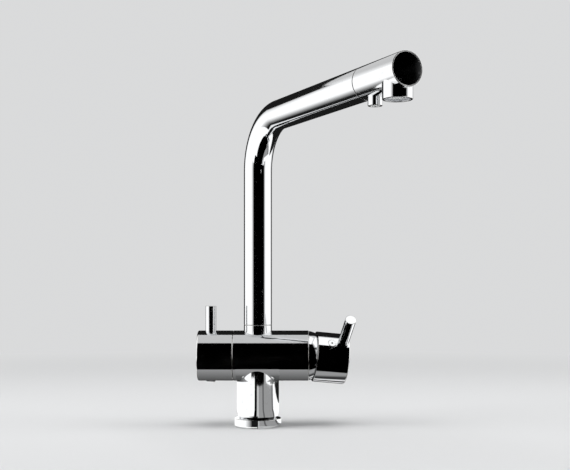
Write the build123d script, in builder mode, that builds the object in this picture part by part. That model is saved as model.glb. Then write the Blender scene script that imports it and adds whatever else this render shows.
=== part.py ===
from build123d import *

import os
from math import asin, cos, degrees, radians, sin

# A three way filtered water tap for a kitchen.
# Millimetres, +Z up. The origin is on the deck, on the axis of the pedestal and the riser.
# The barrel lies along X: filtered water handle on the left, mixer handle on the right.
# -Y is the front. The spout and the mixer handle are drawn where the tap was left.

# ---------------------------------------------------------------- driving sizes
# Base and pedestal
base_ring_diameter = 46.4
base_ring_height = 8.5
base_step_height = 1.6
base_step_inset = 0.5
base_edge_radius = 0.7
base_seal_width = 3.0
base_seal_thickness = 1.8
pedestal_diameter = 42.0
pedestal_foot_inset = 1.7
pedestal_foot_height = 9.5

# Fixing under the deck
deck_thickness = 3.0
shank_diameter = 33.0
shank_bore = 27.0
shank_below_deck = 46.0
shank_screwed_in = 12.0
thread_pitch = 1.5
rubber_washer_diameter = 50.0
rubber_washer_thickness = 3.0
clamp_washer_diameter = 52.0
clamp_washer_thickness = 2.5
nut_across_flats = 41.0
nut_height = 9.0
nut_collar_height = 2.0

# Hose ports in the pedestal
port_radius = 4.5
port_depth = 10.0
port_circle_radius = 7.25
waterway_radius = 2.0
port_count = 3

# Barrel
barrel_diameter = 50.0
barrel_height = 70.5
body_left = 24.3
body_right = 50.5
seam_gap = 0.4

# Riser, bend and arm
tube_diameter = 28.0
tube_wall = 1.5
neck_rise = 5.5
slide_ring_thickness = 0.4
arm_height = 303.5
bend_radius = 49.0
arm_yaw = 27.25
tip_reach = 269.0
head_length = 59.5
head_wall = 1.8
end_disc_thickness = 2.6
tip_to_aerator = 14.0
outlet_spacing = 32.7
aerator_stub_diameter = 24.0
aerator_stub_drop = 7.3
nozzle_stub_diameter = 12.0
nozzle_stub_drop = 6.8
aerator_seal_thickness = 1.2
aerator_skin = 1.3
cell_apothem = 1.0
cell_rib = 0.6

# Swivel
spigot_diameter = 21.0
spigot_bore = 13.6
spigot_in_neck = 17.0
spigot_in_tube = 12.0
socket_depth = 24.0
seal_cord = 2.2
cord_sides = 8
seal_groove_width = 2.6
seal_spacing = 4.4
lock_screw_diameter = 4.0
spout_swing = 60.0
lock_play = 2.0

# Filtered water tube
inner_tube_diameter = 8.0
inner_tube_wall = 1.0
inner_tube_elbow = 8.5

# Handles
cap_wall = 2.4
cap_edge_radius = 1.2
pin_diameter = 10.5
pin_edge_radius = 0.5
stud_diameter = 6.0
grub_screw_diameter = 5.0
plug_diameter = 9.0
filter_cap_length = 34.9
filter_pin_inset = 12.6
filter_pin_rise = 24.5
filter_plug_drop = 1.4
filter_boss_diameter = 16.0
filter_boss_length = 17.0

# Filtered water valve
headwork_diameter = 20.0
headwork_depth = 10.0
headwork_hex = 22.0
headwork_hex_height = 5.5
headwork_neck_diameter = 13.0
headwork_neck_length = 8.0
spindle_diameter = 8.0
spindle_flange_diameter = 12.0
small_disc_diameter = 14.6
small_disc_thickness = 2.4
small_seal_thickness = 1.4

# Mixer cartridge
pivot_depth = 3.5
cartridge_diameter = 35.0
cartridge_depth = 26.0
cartridge_wall = 2.5
cartridge_base = 4.0
cartridge_seal_width = 1.6
cartridge_seal_thickness = 1.2
cartridge_neck_diameter = 25.0
cartridge_neck_length = 6.0
fixed_disc_thickness = 3.0
moving_disc_diameter = 22.0
moving_disc_thickness = 3.0
mixing_chamber_length = 15.0
mixing_chamber_width = 11.0
driver_diameter = 18.0
driver_thickness = 4.0
carrier_diameter = 18.0
carrier_flange_diameter = 24.0
carrier_flange_thickness = 1.5
carrier_top = 3.4
stem_width = 8.0
stem_depth = 7.0
stem_neck_diameter = 4.8
stem_ball_diameter = 5.2
stem_shoulder = 5.0
stem_length = 26.0
stem_pin_diameter = 3.2
cartridge_nut_diameter = 40.0
cartridge_nut_bore = 25.6

# Mixer handle
dome_radius = 24.8
dome_wall = 1.4
dome_height = 15.3
dome_opening = 30.0
mixer_cap_start = 9.5
mixer_cap_end = 41.3
mixer_cap_rim = 1.5
mixer_cap_rim_depth = 5.0
mixer_boss_diameter = 18.0
mixer_boss_start = 17.0
mixer_pin_inset = 7.8
mixer_pin_length = 41.0
button_spacing = 10.5
button_diameter = 8.6
button_rise = 0.5
mixer_turn = 52.0
mixer_tilt = 9.0
tilt_play = 4.0

# Clearances
running = 0.05
loose = 0.3
water_gap = 1.0

# ---------------------------------------------------------------- derived places
barrel_radius = barrel_diameter / 2
tube_radius = tube_diameter / 2
tube_bore = tube_radius - tube_wall
barrel_top = barrel_height + barrel_radius
neck_top = barrel_top + neck_rise
tube_foot = neck_top + slide_ring_thickness
shank_radius = shank_diameter / 2
port_mouth = base_ring_height + shank_screwed_in
port_top = port_mouth + port_depth
spigot_radius = spigot_diameter / 2
socket_floor = neck_top - socket_depth
inner_tube_radius = inner_tube_diameter / 2
pin_radius = pin_diameter / 2
plug_radius = plug_diameter / 2
grub_radius = grub_screw_diameter / 2
stud_radius = stud_diameter / 2
spindle_radius = spindle_diameter / 2

# Stations along the barrel, from the riser's axis
filter_rim = -body_left - seam_gap
filter_end = filter_rim - filter_cap_length
filter_pin_at = filter_end + filter_pin_inset
headwork_floor = -body_left + headwork_depth + small_seal_thickness
pivot_at = body_right - pivot_depth
cartridge_floor = pivot_at - cartridge_depth
base_top = cartridge_floor + cartridge_base
fixed_disc_top = base_top + fixed_disc_thickness
moving_disc_top = fixed_disc_top + moving_disc_thickness
driver_top = moving_disc_top + driver_thickness
carrier_low = driver_top + loose
cavity_top = carrier_low + carrier_flange_thickness + loose
shoulder_at = cavity_top + cartridge_wall
cartridge_top = shoulder_at + cartridge_neck_length
dome_foot = body_right + seam_gap
ball_at = moving_disc_top + stem_ball_diameter / 2 + seam_gap
lever_arm = pivot_at - ball_at

# Stations along the arm, from the riser's axis
tube_end = tip_reach - head_length - seam_gap / 2
head_start = tip_reach - head_length + seam_gap / 2
aerator_at = tip_reach - tip_to_aerator
nozzle_at = aerator_at - outlet_spacing

# ---------------------------------------------------------------- planes
# Each plane's Z runs along the axis of its pieces, so offset() gives a station on that axis.
barrel_plane = Plane(origin=(0, 0, barrel_height), x_dir=(0, 1, 0), z_dir=(1, 0, 0))
arm_dir = Vector(sin(radians(arm_yaw)), -cos(radians(arm_yaw)), 0)
arm_side = Vector(cos(radians(arm_yaw)), sin(radians(arm_yaw)), 0)
arm_plane = Plane(origin=(0, 0, arm_height), x_dir=arm_side, z_dir=arm_dir)
bend_plane = Plane(origin=(0, 0, 0), x_dir=arm_dir, z_dir=arm_dir.cross(Vector(0, 0, 1)))

# The mixer turns about the barrel's axis, and its cap tilts about a pin across the cartridge.
turn_out = Vector(0, -sin(radians(mixer_turn)), cos(radians(mixer_turn)))
turn_pin = Vector(0, cos(radians(mixer_turn)), sin(radians(mixer_turn)))
tilt_sin = sin(radians(mixer_tilt))
tilt_cos = cos(radians(mixer_tilt))
pivot = Vector(pivot_at, 0, barrel_height)
cap_axis = Vector(1, 0, 0) * tilt_cos - turn_out * tilt_sin
cap_out = turn_out * tilt_cos + Vector(1, 0, 0) * tilt_sin
turn_plane = Plane(origin=(0, 0, barrel_height), x_dir=turn_pin, z_dir=(1, 0, 0))
cap_plane = Plane(origin=pivot, x_dir=turn_pin, z_dir=cap_axis)


def lathe(plane):
    """The sketch plane of a turned piece: X is the radius, Y runs along the plane's axis."""
    return Plane(origin=plane.origin, x_dir=plane.y_dir, z_dir=plane.y_dir.cross(plane.z_dir))


def down_from_arm(station):
    """A plane on the arm's axis at a station, looking down."""
    return Plane(origin=arm_plane.offset(station).origin, x_dir=arm_dir, z_dir=(0, 0, -1))


def bar(plane, low, high, radius, mode=Mode.ADD):
    """A round bar, or with Mode.SUBTRACT a bore, on a plane's axis between two stations."""
    with BuildSketch(plane.offset(low)) as section:
        Circle(radius)
    extrude(section.sketch, amount=high - low, mode=mode)


def block(plane, low, high, width, depth, mode=Mode.ADD):
    """A rectangular bar, or a slot, on a plane's axis between two stations."""
    with BuildSketch(plane.offset(low)) as section:
        Rectangle(width, depth)
    extrude(section.sketch, amount=high - low, mode=mode)


def turned(plane, outline):
    """A piece turned from a closed outline of (radius, station) points about a plane's axis."""
    with BuildPart() as piece:
        with BuildSketch(lathe(plane)):
            with BuildLine():
                Polyline(*outline, close=True)
            make_face()
        revolve(axis=Axis(plane.origin, plane.z_dir))
    return piece


def washer(plane, low, high, inner, outer):
    """A flat ring between two stations."""
    return turned(plane, [(inner, low), (outer, low), (outer, high), (inner, high)])


def groove(plane, low, high, inner, outer):
    """Cuts a ring-shaped groove between two stations."""
    with BuildSketch(plane.offset(low)) as section:
        Circle(outer)
        Circle(inner, mode=Mode.SUBTRACT)
    extrude(section.sketch, amount=high - low, mode=Mode.SUBTRACT)


def ports(plane, low, high, spots, radius, mode=Mode.SUBTRACT):
    """Round holes at spots on a plane, between two stations of its axis."""
    with BuildSketch(plane.offset(low)) as openings:
        with Locations(*spots):
            Circle(radius)
    extrude(openings.sketch, amount=high - low, mode=mode)


def seal_rings(plane, stations, centre_radius, cord):
    """Sealing rings on one axis: their section is a polygon with flats a cord's width apart."""
    with BuildPart() as rings:
        for station in stations:
            with BuildSketch(lathe(plane)):
                with Locations((centre_radius, station)):
                    RegularPolygon(
                        cord / 2, cord_sides, major_radius=False, rotation=180 / cord_sides
                    )
            revolve(axis=Axis(plane.origin, plane.z_dir))
    return rings


def grub_screw(plane, low, high, radius):
    """A headless screw with a hexagon socket in its outer end."""
    with BuildPart() as screw:
        bar(plane, low, high, radius)
        with BuildSketch(plane.offset(high)):
            RegularPolygon(radius / 2, 6)
        extrude(amount=-radius, mode=Mode.SUBTRACT)
    return screw


def outer_edges(piece, plane, station):
    """The outermost edges of a piece on the flat end that lies at a station of a plane."""
    face = piece.faces().sort_by(lambda f: abs(plane.to_local_coords(f.center()).Z - station))[0]
    return face.outer_wire().edges()


# ---------------------------------------------------------------- base and fixing
ring_radius = base_ring_diameter / 2
seal_middle = (ring_radius - base_step_inset + shank_radius + loose) / 2
with BuildPart() as base_ring:
    with BuildSketch(Plane.XZ):
        with BuildLine():
            Polyline(
                (shank_radius + loose, 0),
                (ring_radius - base_step_inset, 0),
                (ring_radius - base_step_inset, base_step_height),
                (ring_radius, base_step_height),
                (ring_radius, base_ring_height),
                (shank_radius + loose, base_ring_height),
                close=True,
            )
        make_face()
    revolve(axis=Axis.Z)
    fillet(base_ring.faces().sort_by(Axis.Z)[-1].outer_wire().edges(), base_edge_radius)
    groove(
        Plane.XY,
        0,
        base_seal_thickness,
        seal_middle - base_seal_width / 2,
        seal_middle + base_seal_width / 2,
    )
base_seal = washer(
    Plane.XY,
    0,
    base_seal_thickness,
    seal_middle - base_seal_width / 2,
    seal_middle + base_seal_width / 2,
)

with BuildPart() as threaded_shank:
    bar(Plane.XY, -deck_thickness - shank_below_deck, port_mouth, shank_radius)
    chamfer(threaded_shank.edges().group_by(Axis.Z)[0], thread_pitch / 2)
    bar(
        Plane.XY,
        -deck_thickness - shank_below_deck,
        port_mouth,
        shank_bore / 2,
        Mode.SUBTRACT,
    )

washer_top = -deck_thickness
clamp_top = washer_top - rubber_washer_thickness
nut_top = clamp_top - clamp_washer_thickness
rubber_washer = washer(
    Plane.XY, clamp_top, washer_top, shank_radius + loose, rubber_washer_diameter / 2
)
clamp_washer = washer(
    Plane.XY, nut_top, clamp_top, shank_radius + loose, clamp_washer_diameter / 2
)
with BuildPart() as shank_nut:
    with BuildSketch(Plane.XY.offset(nut_top - nut_height)):
        RegularPolygon(nut_across_flats / 2, 6, major_radius=False)
    extrude(amount=nut_height - nut_collar_height)
    bar(Plane.XY, nut_top - nut_collar_height, nut_top, nut_across_flats / 2)
    bar(Plane.XY, nut_top - nut_height, nut_top, shank_radius + running, Mode.SUBTRACT)

# ---------------------------------------------------------------- body casting
pedestal_radius = pedestal_diameter / 2
headwork_radius = headwork_diameter / 2
cartridge_radius = cartridge_diameter / 2
nut_thread_radius = cartridge_nut_diameter / 2
inlet_height = barrel_height - cartridge_radius / 2
valve_height = barrel_height - 2 * waterway_radius
outlet_height = socket_floor + water_gap + waterway_radius
first_port_angle = 90
port_spots = [
    Vector(port_circle_radius, 0).rotate(Axis.Z, first_port_angle + turn * 360 / port_count)
    for turn in range(port_count)
]
with BuildPart() as body_casting:
    # The pedestal draws in towards its foot along an arc that starts upright.
    with BuildSketch(Plane.XZ):
        with BuildLine():
            foot = Line((0, base_ring_height), (pedestal_radius - pedestal_foot_inset, base_ring_height))
            shoulder_point = (pedestal_radius, base_ring_height + pedestal_foot_height)
            side = Line(shoulder_point, (pedestal_radius, barrel_height))
            TangentArc(shoulder_point, foot @ 1, tangent=(0, -1))
            Line(side @ 1, (0, barrel_height))
            Line((0, barrel_height), (0, base_ring_height))
        make_face()
    revolve(axis=Axis.Z)
    bar(barrel_plane, -body_left, body_right, barrel_radius)
    bar(Plane.XY, barrel_height, neck_top, tube_radius)
    # Socket for the spout's spigot, and the hole for the filtered water tube under it
    bar(Plane.XY, socket_floor, neck_top, spigot_radius + running, Mode.SUBTRACT)
    bar(Plane.XY, barrel_height, socket_floor, inner_tube_radius + running, Mode.SUBTRACT)
    # Seat of the filtered water valve, and its drilling to the filtered water tube
    bar(barrel_plane, -body_left, headwork_floor, headwork_radius + running, Mode.SUBTRACT)
    bar(barrel_plane, headwork_floor, 0, waterway_radius, Mode.SUBTRACT)
    # Seat of the mixer cartridge, and the wider thread for the nut that clamps it
    bar(barrel_plane, cartridge_floor, body_right, cartridge_radius + running, Mode.SUBTRACT)
    bar(barrel_plane, shoulder_at, body_right, nut_thread_radius + running, Mode.SUBTRACT)
    # Mixed water leaves the cartridge for the spout socket
    with BuildSketch(barrel_plane):
        with Locations((0, outlet_height - barrel_height)):
            Circle(waterway_radius)
    extrude(amount=cartridge_floor, mode=Mode.SUBTRACT)
    # Threaded seat of the shank, and the hose ports above it
    bar(Plane.XY, base_ring_height, port_mouth, shank_radius + running, Mode.SUBTRACT)
    with BuildSketch(Plane.XY.offset(port_mouth)):
        with Locations(*port_spots):
            Circle(port_radius)
    extrude(amount=port_depth, mode=Mode.SUBTRACT)
    # The rear and right ports rise to the cartridge, the left one to the filter valve.
    for spot, top, goal in zip(
        port_spots,
        (inlet_height, valve_height, inlet_height),
        (cartridge_floor, headwork_floor, cartridge_floor),
    ):
        with BuildSketch(Plane.XY.offset(port_top)):
            with Locations(spot):
                Circle(waterway_radius)
        extrude(amount=top - port_top, mode=Mode.SUBTRACT)
        with BuildSketch(barrel_plane.offset(spot.X)):
            with Locations((spot.Y, top - barrel_height)):
                Circle(waterway_radius)
        extrude(amount=goal - spot.X, mode=Mode.SUBTRACT)
    # Hole for the screw that keeps the spout in its socket
    lock_height = barrel_top + neck_rise / 2
    rear_plane = Plane(origin=(0, 0, lock_height), x_dir=(1, 0, 0), z_dir=(0, 1, 0))
    bar(rear_plane, 0, tube_radius + loose, lock_screw_diameter / 2, Mode.SUBTRACT)

# ---------------------------------------------------------------- spout swivel
groove_floor = spigot_radius - seal_cord
spigot_foot = neck_top - spigot_in_neck
lower_seal_at = spigot_foot + seal_groove_width
seal_stations = [lower_seal_at, lower_seal_at + seal_spacing]
lock_depth = lock_screw_diameter / 3
lock_margin = degrees(asin((lock_screw_diameter / 2 + loose) / spigot_radius)) + lock_play
with BuildPart() as spout_spigot:
    bar(Plane.XY, spigot_foot, tube_foot, spigot_radius)
    chamfer(spout_spigot.edges().group_by(Axis.Z)[0], seal_cord / 4)
    bar(Plane.XY, tube_foot, tube_foot + spigot_in_tube, tube_bore - running)
    bar(
        Plane.XY,
        spigot_foot,
        tube_foot + spigot_in_tube,
        spigot_bore / 2,
        Mode.SUBTRACT,
    )
    for station in seal_stations:
        groove(
            Plane.XY,
            station - seal_groove_width / 2,
            station + seal_groove_width / 2,
            groove_floor,
            spigot_radius,
        )
    # The screw stands behind the neck, so it sweeps this part of the turning spigot.
    start = radians(90 + arm_yaw - spout_swing - lock_margin)
    lock_plane = Plane(
        origin=(0, 0, lock_height),
        x_dir=(cos(start), sin(start), 0),
        z_dir=(sin(start), -cos(start), 0),
    )
    with BuildSketch(lock_plane) as lock_section:
        with Locations((spigot_radius, 0)):
            Rectangle(lock_depth * 2, lock_screw_diameter + loose)
    revolve(
        lock_section.sketch,
        axis=Axis.Z,
        revolution_arc=2 * (spout_swing + lock_margin),
        mode=Mode.SUBTRACT,
    )
spigot_seals = seal_rings(Plane.XY, seal_stations, spigot_radius - seal_cord / 2, seal_cord)
slide_ring = washer(Plane.XY, neck_top, tube_foot, spigot_radius + loose, tube_radius - loose)
spout_screw = grub_screw(
    rear_plane, spigot_radius - lock_depth + loose, tube_radius - loose, lock_screw_diameter / 2
)

# ---------------------------------------------------------------- spout
with BuildPart() as spout_tube:
    with BuildLine(bend_plane) as route:
        rise = Line((0, tube_foot), (0, arm_height - bend_radius))
        bend = JernArc(rise @ 1, rise % 1, bend_radius, -90)
        reach = Line(bend @ 1, bend @ 1 + arm_dir * (tube_end - bend_radius))
    with BuildSketch(Plane.XY.offset(tube_foot)):
        Circle(tube_radius)
        Circle(tube_bore, mode=Mode.SUBTRACT)
    sweep()
    chamfer(outer_edges(spout_tube, arm_plane, tube_end), seam_gap / 2)

inner_tube_foot = barrel_height + waterway_radius + water_gap / 2
elbow_drop = tube_radius + nozzle_stub_drop / 3
with BuildPart() as filter_tube:
    with BuildLine(bend_plane) as inner_route:
        inner_rise = Line((0, inner_tube_foot), (0, arm_height - bend_radius))
        inner_bend = JernArc(inner_rise @ 1, inner_rise % 1, bend_radius, -90)
        inner_run = Line(
            inner_bend @ 1,
            inner_bend @ 1 + arm_dir * (nozzle_at - bend_radius - inner_tube_elbow),
        )
        elbow = JernArc(inner_run @ 1, inner_run % 1, inner_tube_elbow, -90)
        Line(elbow @ 1, elbow @ 1 - Vector(0, 0, elbow_drop - inner_tube_elbow))
    with BuildSketch(Plane.XY.offset(inner_tube_foot)):
        Circle(inner_tube_radius)
        Circle(inner_tube_radius - inner_tube_wall, mode=Mode.SUBTRACT)
    sweep()

sleeve_half = tube_radius / 2
joint_sleeve = turned(
    arm_plane,
    [
        (tube_bore - tube_wall - running, tube_end - sleeve_half),
        (tube_bore - running, tube_end - sleeve_half),
        (tube_bore - running, tube_end),
        (tube_radius - head_wall - running, tube_end),
        (tube_radius - head_wall - running, head_start + sleeve_half / 2),
        (tube_bore - tube_wall - running, head_start + sleeve_half / 2),
    ],
)

aerator_stub_radius = aerator_stub_diameter / 2
nozzle_stub_radius = nozzle_stub_diameter / 2
aerator_mouth = tube_radius + aerator_stub_drop
nozzle_mouth = tube_radius + nozzle_stub_drop
head_bore = tube_radius - head_wall
rim_width = head_wall / 2
aerator_bore = aerator_stub_radius - head_wall
aerator_seat = tube_radius
aerator_plane = down_from_arm(aerator_at)
nozzle_plane = down_from_arm(nozzle_at)
with BuildPart() as spout_head:
    bar(arm_plane, head_start, tip_reach, tube_radius)
    bar(aerator_plane, 0, aerator_mouth, aerator_stub_radius)
    bar(nozzle_plane, 0, nozzle_mouth, nozzle_stub_radius)
    chamfer(outer_edges(spout_head, aerator_plane, aerator_mouth), head_wall / 4)
    chamfer(outer_edges(spout_head, nozzle_plane, nozzle_mouth), head_wall / 6)
    fillet(outer_edges(spout_head, arm_plane, tip_reach), rim_width / 2)
    chamfer(outer_edges(spout_head, arm_plane, head_start), seam_gap / 2)
    bar(arm_plane, head_start, tip_reach - end_disc_thickness, head_bore, Mode.SUBTRACT)
    bar(
        arm_plane,
        tip_reach - end_disc_thickness,
        tip_reach,
        tube_radius - rim_width,
        Mode.SUBTRACT,
    )
    bar(aerator_plane, aerator_seat, aerator_mouth, aerator_bore, Mode.SUBTRACT)
    bar(aerator_plane, 0, aerator_seat, aerator_bore - head_wall, Mode.SUBTRACT)
    bar(nozzle_plane, 0, nozzle_mouth, inner_tube_radius + running, Mode.SUBTRACT)

with BuildPart() as end_disc:
    bar(
        arm_plane,
        tip_reach - end_disc_thickness,
        tip_reach - seam_gap / 2,
        tube_radius - rim_width - running,
    )
    chamfer(outer_edges(end_disc, arm_plane, tip_reach - seam_gap / 2), seam_gap / 2)

# ---------------------------------------------------------------- outlets
housing_top = aerator_seat + aerator_seal_thickness
housing_foot = aerator_mouth - seam_gap
with BuildPart() as aerator_housing:
    bar(aerator_plane, housing_top, housing_foot, aerator_bore - running)
    bar(aerator_plane, housing_top, housing_foot, aerator_bore - aerator_skin * 2, Mode.SUBTRACT)
    bar(
        aerator_plane,
        housing_top,
        housing_foot - aerator_skin,
        aerator_bore - aerator_skin,
        Mode.SUBTRACT,
    )
    # Key slots round the rim
    with BuildSketch(aerator_plane.offset(housing_foot)):
        with PolarLocations(aerator_bore - aerator_skin / 2, 4, 45):
            Rectangle(aerator_skin, aerator_skin * 2)
    extrude(amount=-aerator_skin, mode=Mode.SUBTRACT)
aerator_seal = washer(
    aerator_plane,
    aerator_seat,
    housing_top,
    aerator_bore - head_wall,
    aerator_bore - running,
)
insert_radius = aerator_bore - aerator_skin - running
cell_limit = aerator_bore - aerator_skin * 2 - cell_apothem
cells = [
    cell
    for cell in HexLocations(cell_apothem + cell_rib / 2, 9, 9)
    if cell.position.length < cell_limit
]
with BuildPart() as aerator_insert:
    bar(aerator_plane, housing_top, housing_foot - aerator_skin, insert_radius)
    with BuildSketch(aerator_plane.offset(housing_top)):
        with Locations(*cells):
            RegularPolygon(cell_apothem, 6, major_radius=False)
    extrude(amount=housing_foot - aerator_skin - housing_top, mode=Mode.SUBTRACT)

nozzle_insert_top = elbow_drop + loose
nozzle_insert_foot = nozzle_mouth - seam_gap
with BuildPart() as nozzle_insert:
    bar(nozzle_plane, nozzle_insert_top, nozzle_insert_foot, inner_tube_radius)
    bar(
        nozzle_plane,
        nozzle_insert_top,
        nozzle_insert_foot,
        inner_tube_radius - inner_tube_wall,
        Mode.SUBTRACT,
    )
    with BuildSketch(nozzle_plane.offset(nozzle_insert_top)):
        for turn in (0, 90):
            Rectangle(
                inner_tube_diameter - inner_tube_wall, inner_tube_wall / 2, rotation=turn
            )
    extrude(amount=nozzle_insert_foot - nozzle_insert_top)

# ---------------------------------------------------------------- filtered water valve
headwork_low = -body_left + headwork_depth
hex_at = -body_left - headwork_hex_height
headwork_end = hex_at - headwork_neck_length
small_fixed_at = headwork_low - small_disc_thickness
small_moving_at = small_fixed_at - small_disc_thickness
chamber_at = small_moving_at - small_disc_thickness - loose
chamber_radius = small_disc_diameter / 2 + loose
with BuildPart() as filter_valve_body:
    bar(barrel_plane, -body_left, headwork_low, headwork_radius)
    with BuildSketch(barrel_plane.offset(hex_at)):
        RegularPolygon(headwork_hex / 2, 6, major_radius=False)
    extrude(amount=headwork_hex_height)
    bar(barrel_plane, headwork_end, hex_at, headwork_neck_diameter / 2)
    bar(barrel_plane, headwork_end, headwork_low, spindle_radius + running, Mode.SUBTRACT)
    bar(barrel_plane, chamber_at, headwork_low, chamber_radius, Mode.SUBTRACT)
valve_spots = [(0, 0), (port_spots[1].Y, valve_height - barrel_height)]
with BuildPart() as filter_fixed_disc:
    bar(barrel_plane, small_fixed_at, headwork_low, chamber_radius - running)
    ports(barrel_plane, small_fixed_at, headwork_low, valve_spots, waterway_radius)
with BuildPart() as filter_valve_seal:
    bar(barrel_plane, headwork_low, headwork_floor, headwork_radius - loose)
    ports(barrel_plane, headwork_low, headwork_floor, valve_spots, waterway_radius)
filter_moving_disc = washer(
    barrel_plane, small_moving_at, small_fixed_at, spindle_radius / 2, small_disc_diameter / 2
)
spindle_tip = filter_pin_at - grub_radius * 2
with BuildPart() as filter_spindle:
    bar(barrel_plane, spindle_tip, small_moving_at - loose, spindle_radius)
    bar(
        barrel_plane,
        small_moving_at - small_disc_thickness,
        small_moving_at,
        spindle_flange_diameter / 2,
    )

# ---------------------------------------------------------------- filtered water handle
filter_boss_radius = filter_boss_diameter / 2
filter_floor = filter_end + cap_wall
filter_up = Plane(
    origin=(filter_pin_at, 0, barrel_height), x_dir=(1, 0, 0), z_dir=(0, 0, 1)
)
filter_down = Plane(
    origin=(filter_pin_at, 0, barrel_height), x_dir=(1, 0, 0), z_dir=(0, 0, -1)
)
pin_seat = barrel_radius - cap_wall * 2
with BuildPart() as filter_cap:
    bar(barrel_plane, filter_end, filter_rim, barrel_radius)
    fillet(outer_edges(filter_cap, barrel_plane, filter_end), cap_edge_radius)
    bar(barrel_plane, filter_floor, filter_rim, barrel_radius - cap_wall, Mode.SUBTRACT)
    bar(barrel_plane, filter_floor, filter_floor + filter_boss_length, filter_boss_radius)
    bar(
        barrel_plane,
        spindle_tip - loose,
        filter_floor + filter_boss_length,
        spindle_radius + running,
        Mode.SUBTRACT,
    )
    bar(filter_up, spindle_radius, barrel_radius, stud_radius + running, Mode.SUBTRACT)
    bar(filter_up, filter_boss_radius, barrel_radius, pin_radius + running, Mode.SUBTRACT)
    bar(filter_down, spindle_radius, filter_boss_radius, grub_radius + running, Mode.SUBTRACT)
    bar(filter_down, filter_boss_radius, barrel_radius, plug_radius + running, Mode.SUBTRACT)
with BuildPart() as filter_pin:
    bar(filter_up, pin_seat, barrel_radius + filter_pin_rise, pin_radius)
    fillet(
        outer_edges(filter_pin, filter_up, barrel_radius + filter_pin_rise), pin_edge_radius
    )
    bar(filter_up, spindle_radius + running, pin_seat, stud_radius)
with BuildPart() as filter_cap_plug:
    bar(filter_down, barrel_radius - cap_wall, barrel_radius + filter_plug_drop, plug_radius)
    fillet(
        outer_edges(filter_cap_plug, filter_down, barrel_radius + filter_plug_drop),
        filter_plug_drop / 2,
    )
filter_cap_screw = grub_screw(
    filter_down, spindle_radius + running, filter_boss_radius - loose, grub_radius
)

# ---------------------------------------------------------------- mixer cartridge
cartridge_spots = [
    (port_spots[0].Y, inlet_height - barrel_height),
    (port_spots[2].Y, inlet_height - barrel_height),
    (0, outlet_height - barrel_height),
]
cartridge_seal_radius = waterway_radius + cartridge_seal_width
seal_top = cartridge_floor + cartridge_seal_thickness
with BuildPart() as cartridge_base_plate:
    bar(barrel_plane, cartridge_floor, base_top, cartridge_radius)
    ports(barrel_plane, cartridge_floor, base_top, cartridge_spots, waterway_radius)
    ports(barrel_plane, cartridge_floor, seal_top, cartridge_spots, cartridge_seal_radius)
with BuildPart() as cartridge_seals:
    ports(
        barrel_plane,
        cartridge_floor,
        seal_top,
        cartridge_spots,
        cartridge_seal_radius,
        Mode.ADD,
    )
    ports(barrel_plane, cartridge_floor, seal_top, cartridge_spots, waterway_radius)
cavity_radius = cartridge_radius - cartridge_wall
carrier_radius = carrier_diameter / 2
cartridge_shell = turned(
    barrel_plane,
    [
        (cavity_radius, base_top),
        (cartridge_radius, base_top),
        (cartridge_radius, shoulder_at),
        (cartridge_neck_diameter / 2, shoulder_at),
        (cartridge_neck_diameter / 2, cartridge_top),
        (carrier_radius + running, cartridge_top),
        (carrier_radius + running, cavity_top),
        (cavity_radius, cavity_top),
    ],
)
with BuildPart() as fixed_disc:
    bar(barrel_plane, base_top, fixed_disc_top, cavity_radius - running)
    ports(barrel_plane, base_top, fixed_disc_top, cartridge_spots, waterway_radius)

# The moving disc and its driver sit off centre by what the tilted stem gives them.
disc_shift = lever_arm * tilt_sin
disc_plane = Plane(
    origin=Vector(0, 0, barrel_height) + turn_out * disc_shift, x_dir=turn_pin, z_dir=(1, 0, 0)
)
with BuildPart() as moving_disc:
    bar(disc_plane, fixed_disc_top, moving_disc_top, moving_disc_diameter / 2)
    # The mixing chamber in its lower face joins both inlets to the outlet
    with BuildSketch(disc_plane.offset(fixed_disc_top)):
        SlotCenterToCenter(mixing_chamber_length - mixing_chamber_width, mixing_chamber_width)
    extrude(amount=moving_disc_thickness / 2, mode=Mode.SUBTRACT)
disc_driver = washer(
    disc_plane,
    moving_disc_top,
    driver_top,
    stem_ball_diameter / 2 + loose,
    driver_diameter / 2,
)
pin_plane = Plane(origin=pivot, x_dir=(1, 0, 0), z_dir=turn_pin)
slot_depth = stem_depth + 2 * lever_arm * sin(radians(mixer_tilt + tilt_play))
with BuildPart() as stem_carrier:
    bar(turn_plane, carrier_low, carrier_low + carrier_flange_thickness, carrier_flange_diameter / 2)
    bar(turn_plane, carrier_low, pivot_at + carrier_top, carrier_radius)
    block(
        turn_plane,
        carrier_low,
        pivot_at + carrier_top,
        stem_width + loose,
        slot_depth,
        Mode.SUBTRACT,
    )
    bar(pin_plane, -carrier_radius, carrier_radius, stem_pin_diameter / 2, Mode.SUBTRACT)
with BuildPart() as stem_pin:
    bar(pin_plane, -carrier_radius + loose, carrier_radius - loose, stem_pin_diameter / 2)
with BuildPart() as mixer_stem:
    block(cap_plane, -stem_shoulder, stem_length, stem_width, stem_depth)
    chamfer(mixer_stem.edges().filter_by(Axis(pivot, cap_axis)), stem_width / 12)
    bar(cap_plane, -lever_arm, -stem_shoulder, stem_neck_diameter / 2)
    ball_place = cap_plane.offset(-lever_arm)
    with BuildSketch(lathe(ball_place)):
        with BuildLine():
            half_ball = CenterArc((0, 0), stem_ball_diameter / 2, -90, 180)
            Line(half_ball @ 1, half_ball @ 0)
        make_face()
    revolve(axis=Axis(ball_place.origin, ball_place.z_dir))
    bar(
        pin_plane,
        -stem_width,
        stem_width,
        stem_pin_diameter / 2 + running,
        Mode.SUBTRACT,
    )
nut_bore_radius = cartridge_nut_bore / 2
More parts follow.
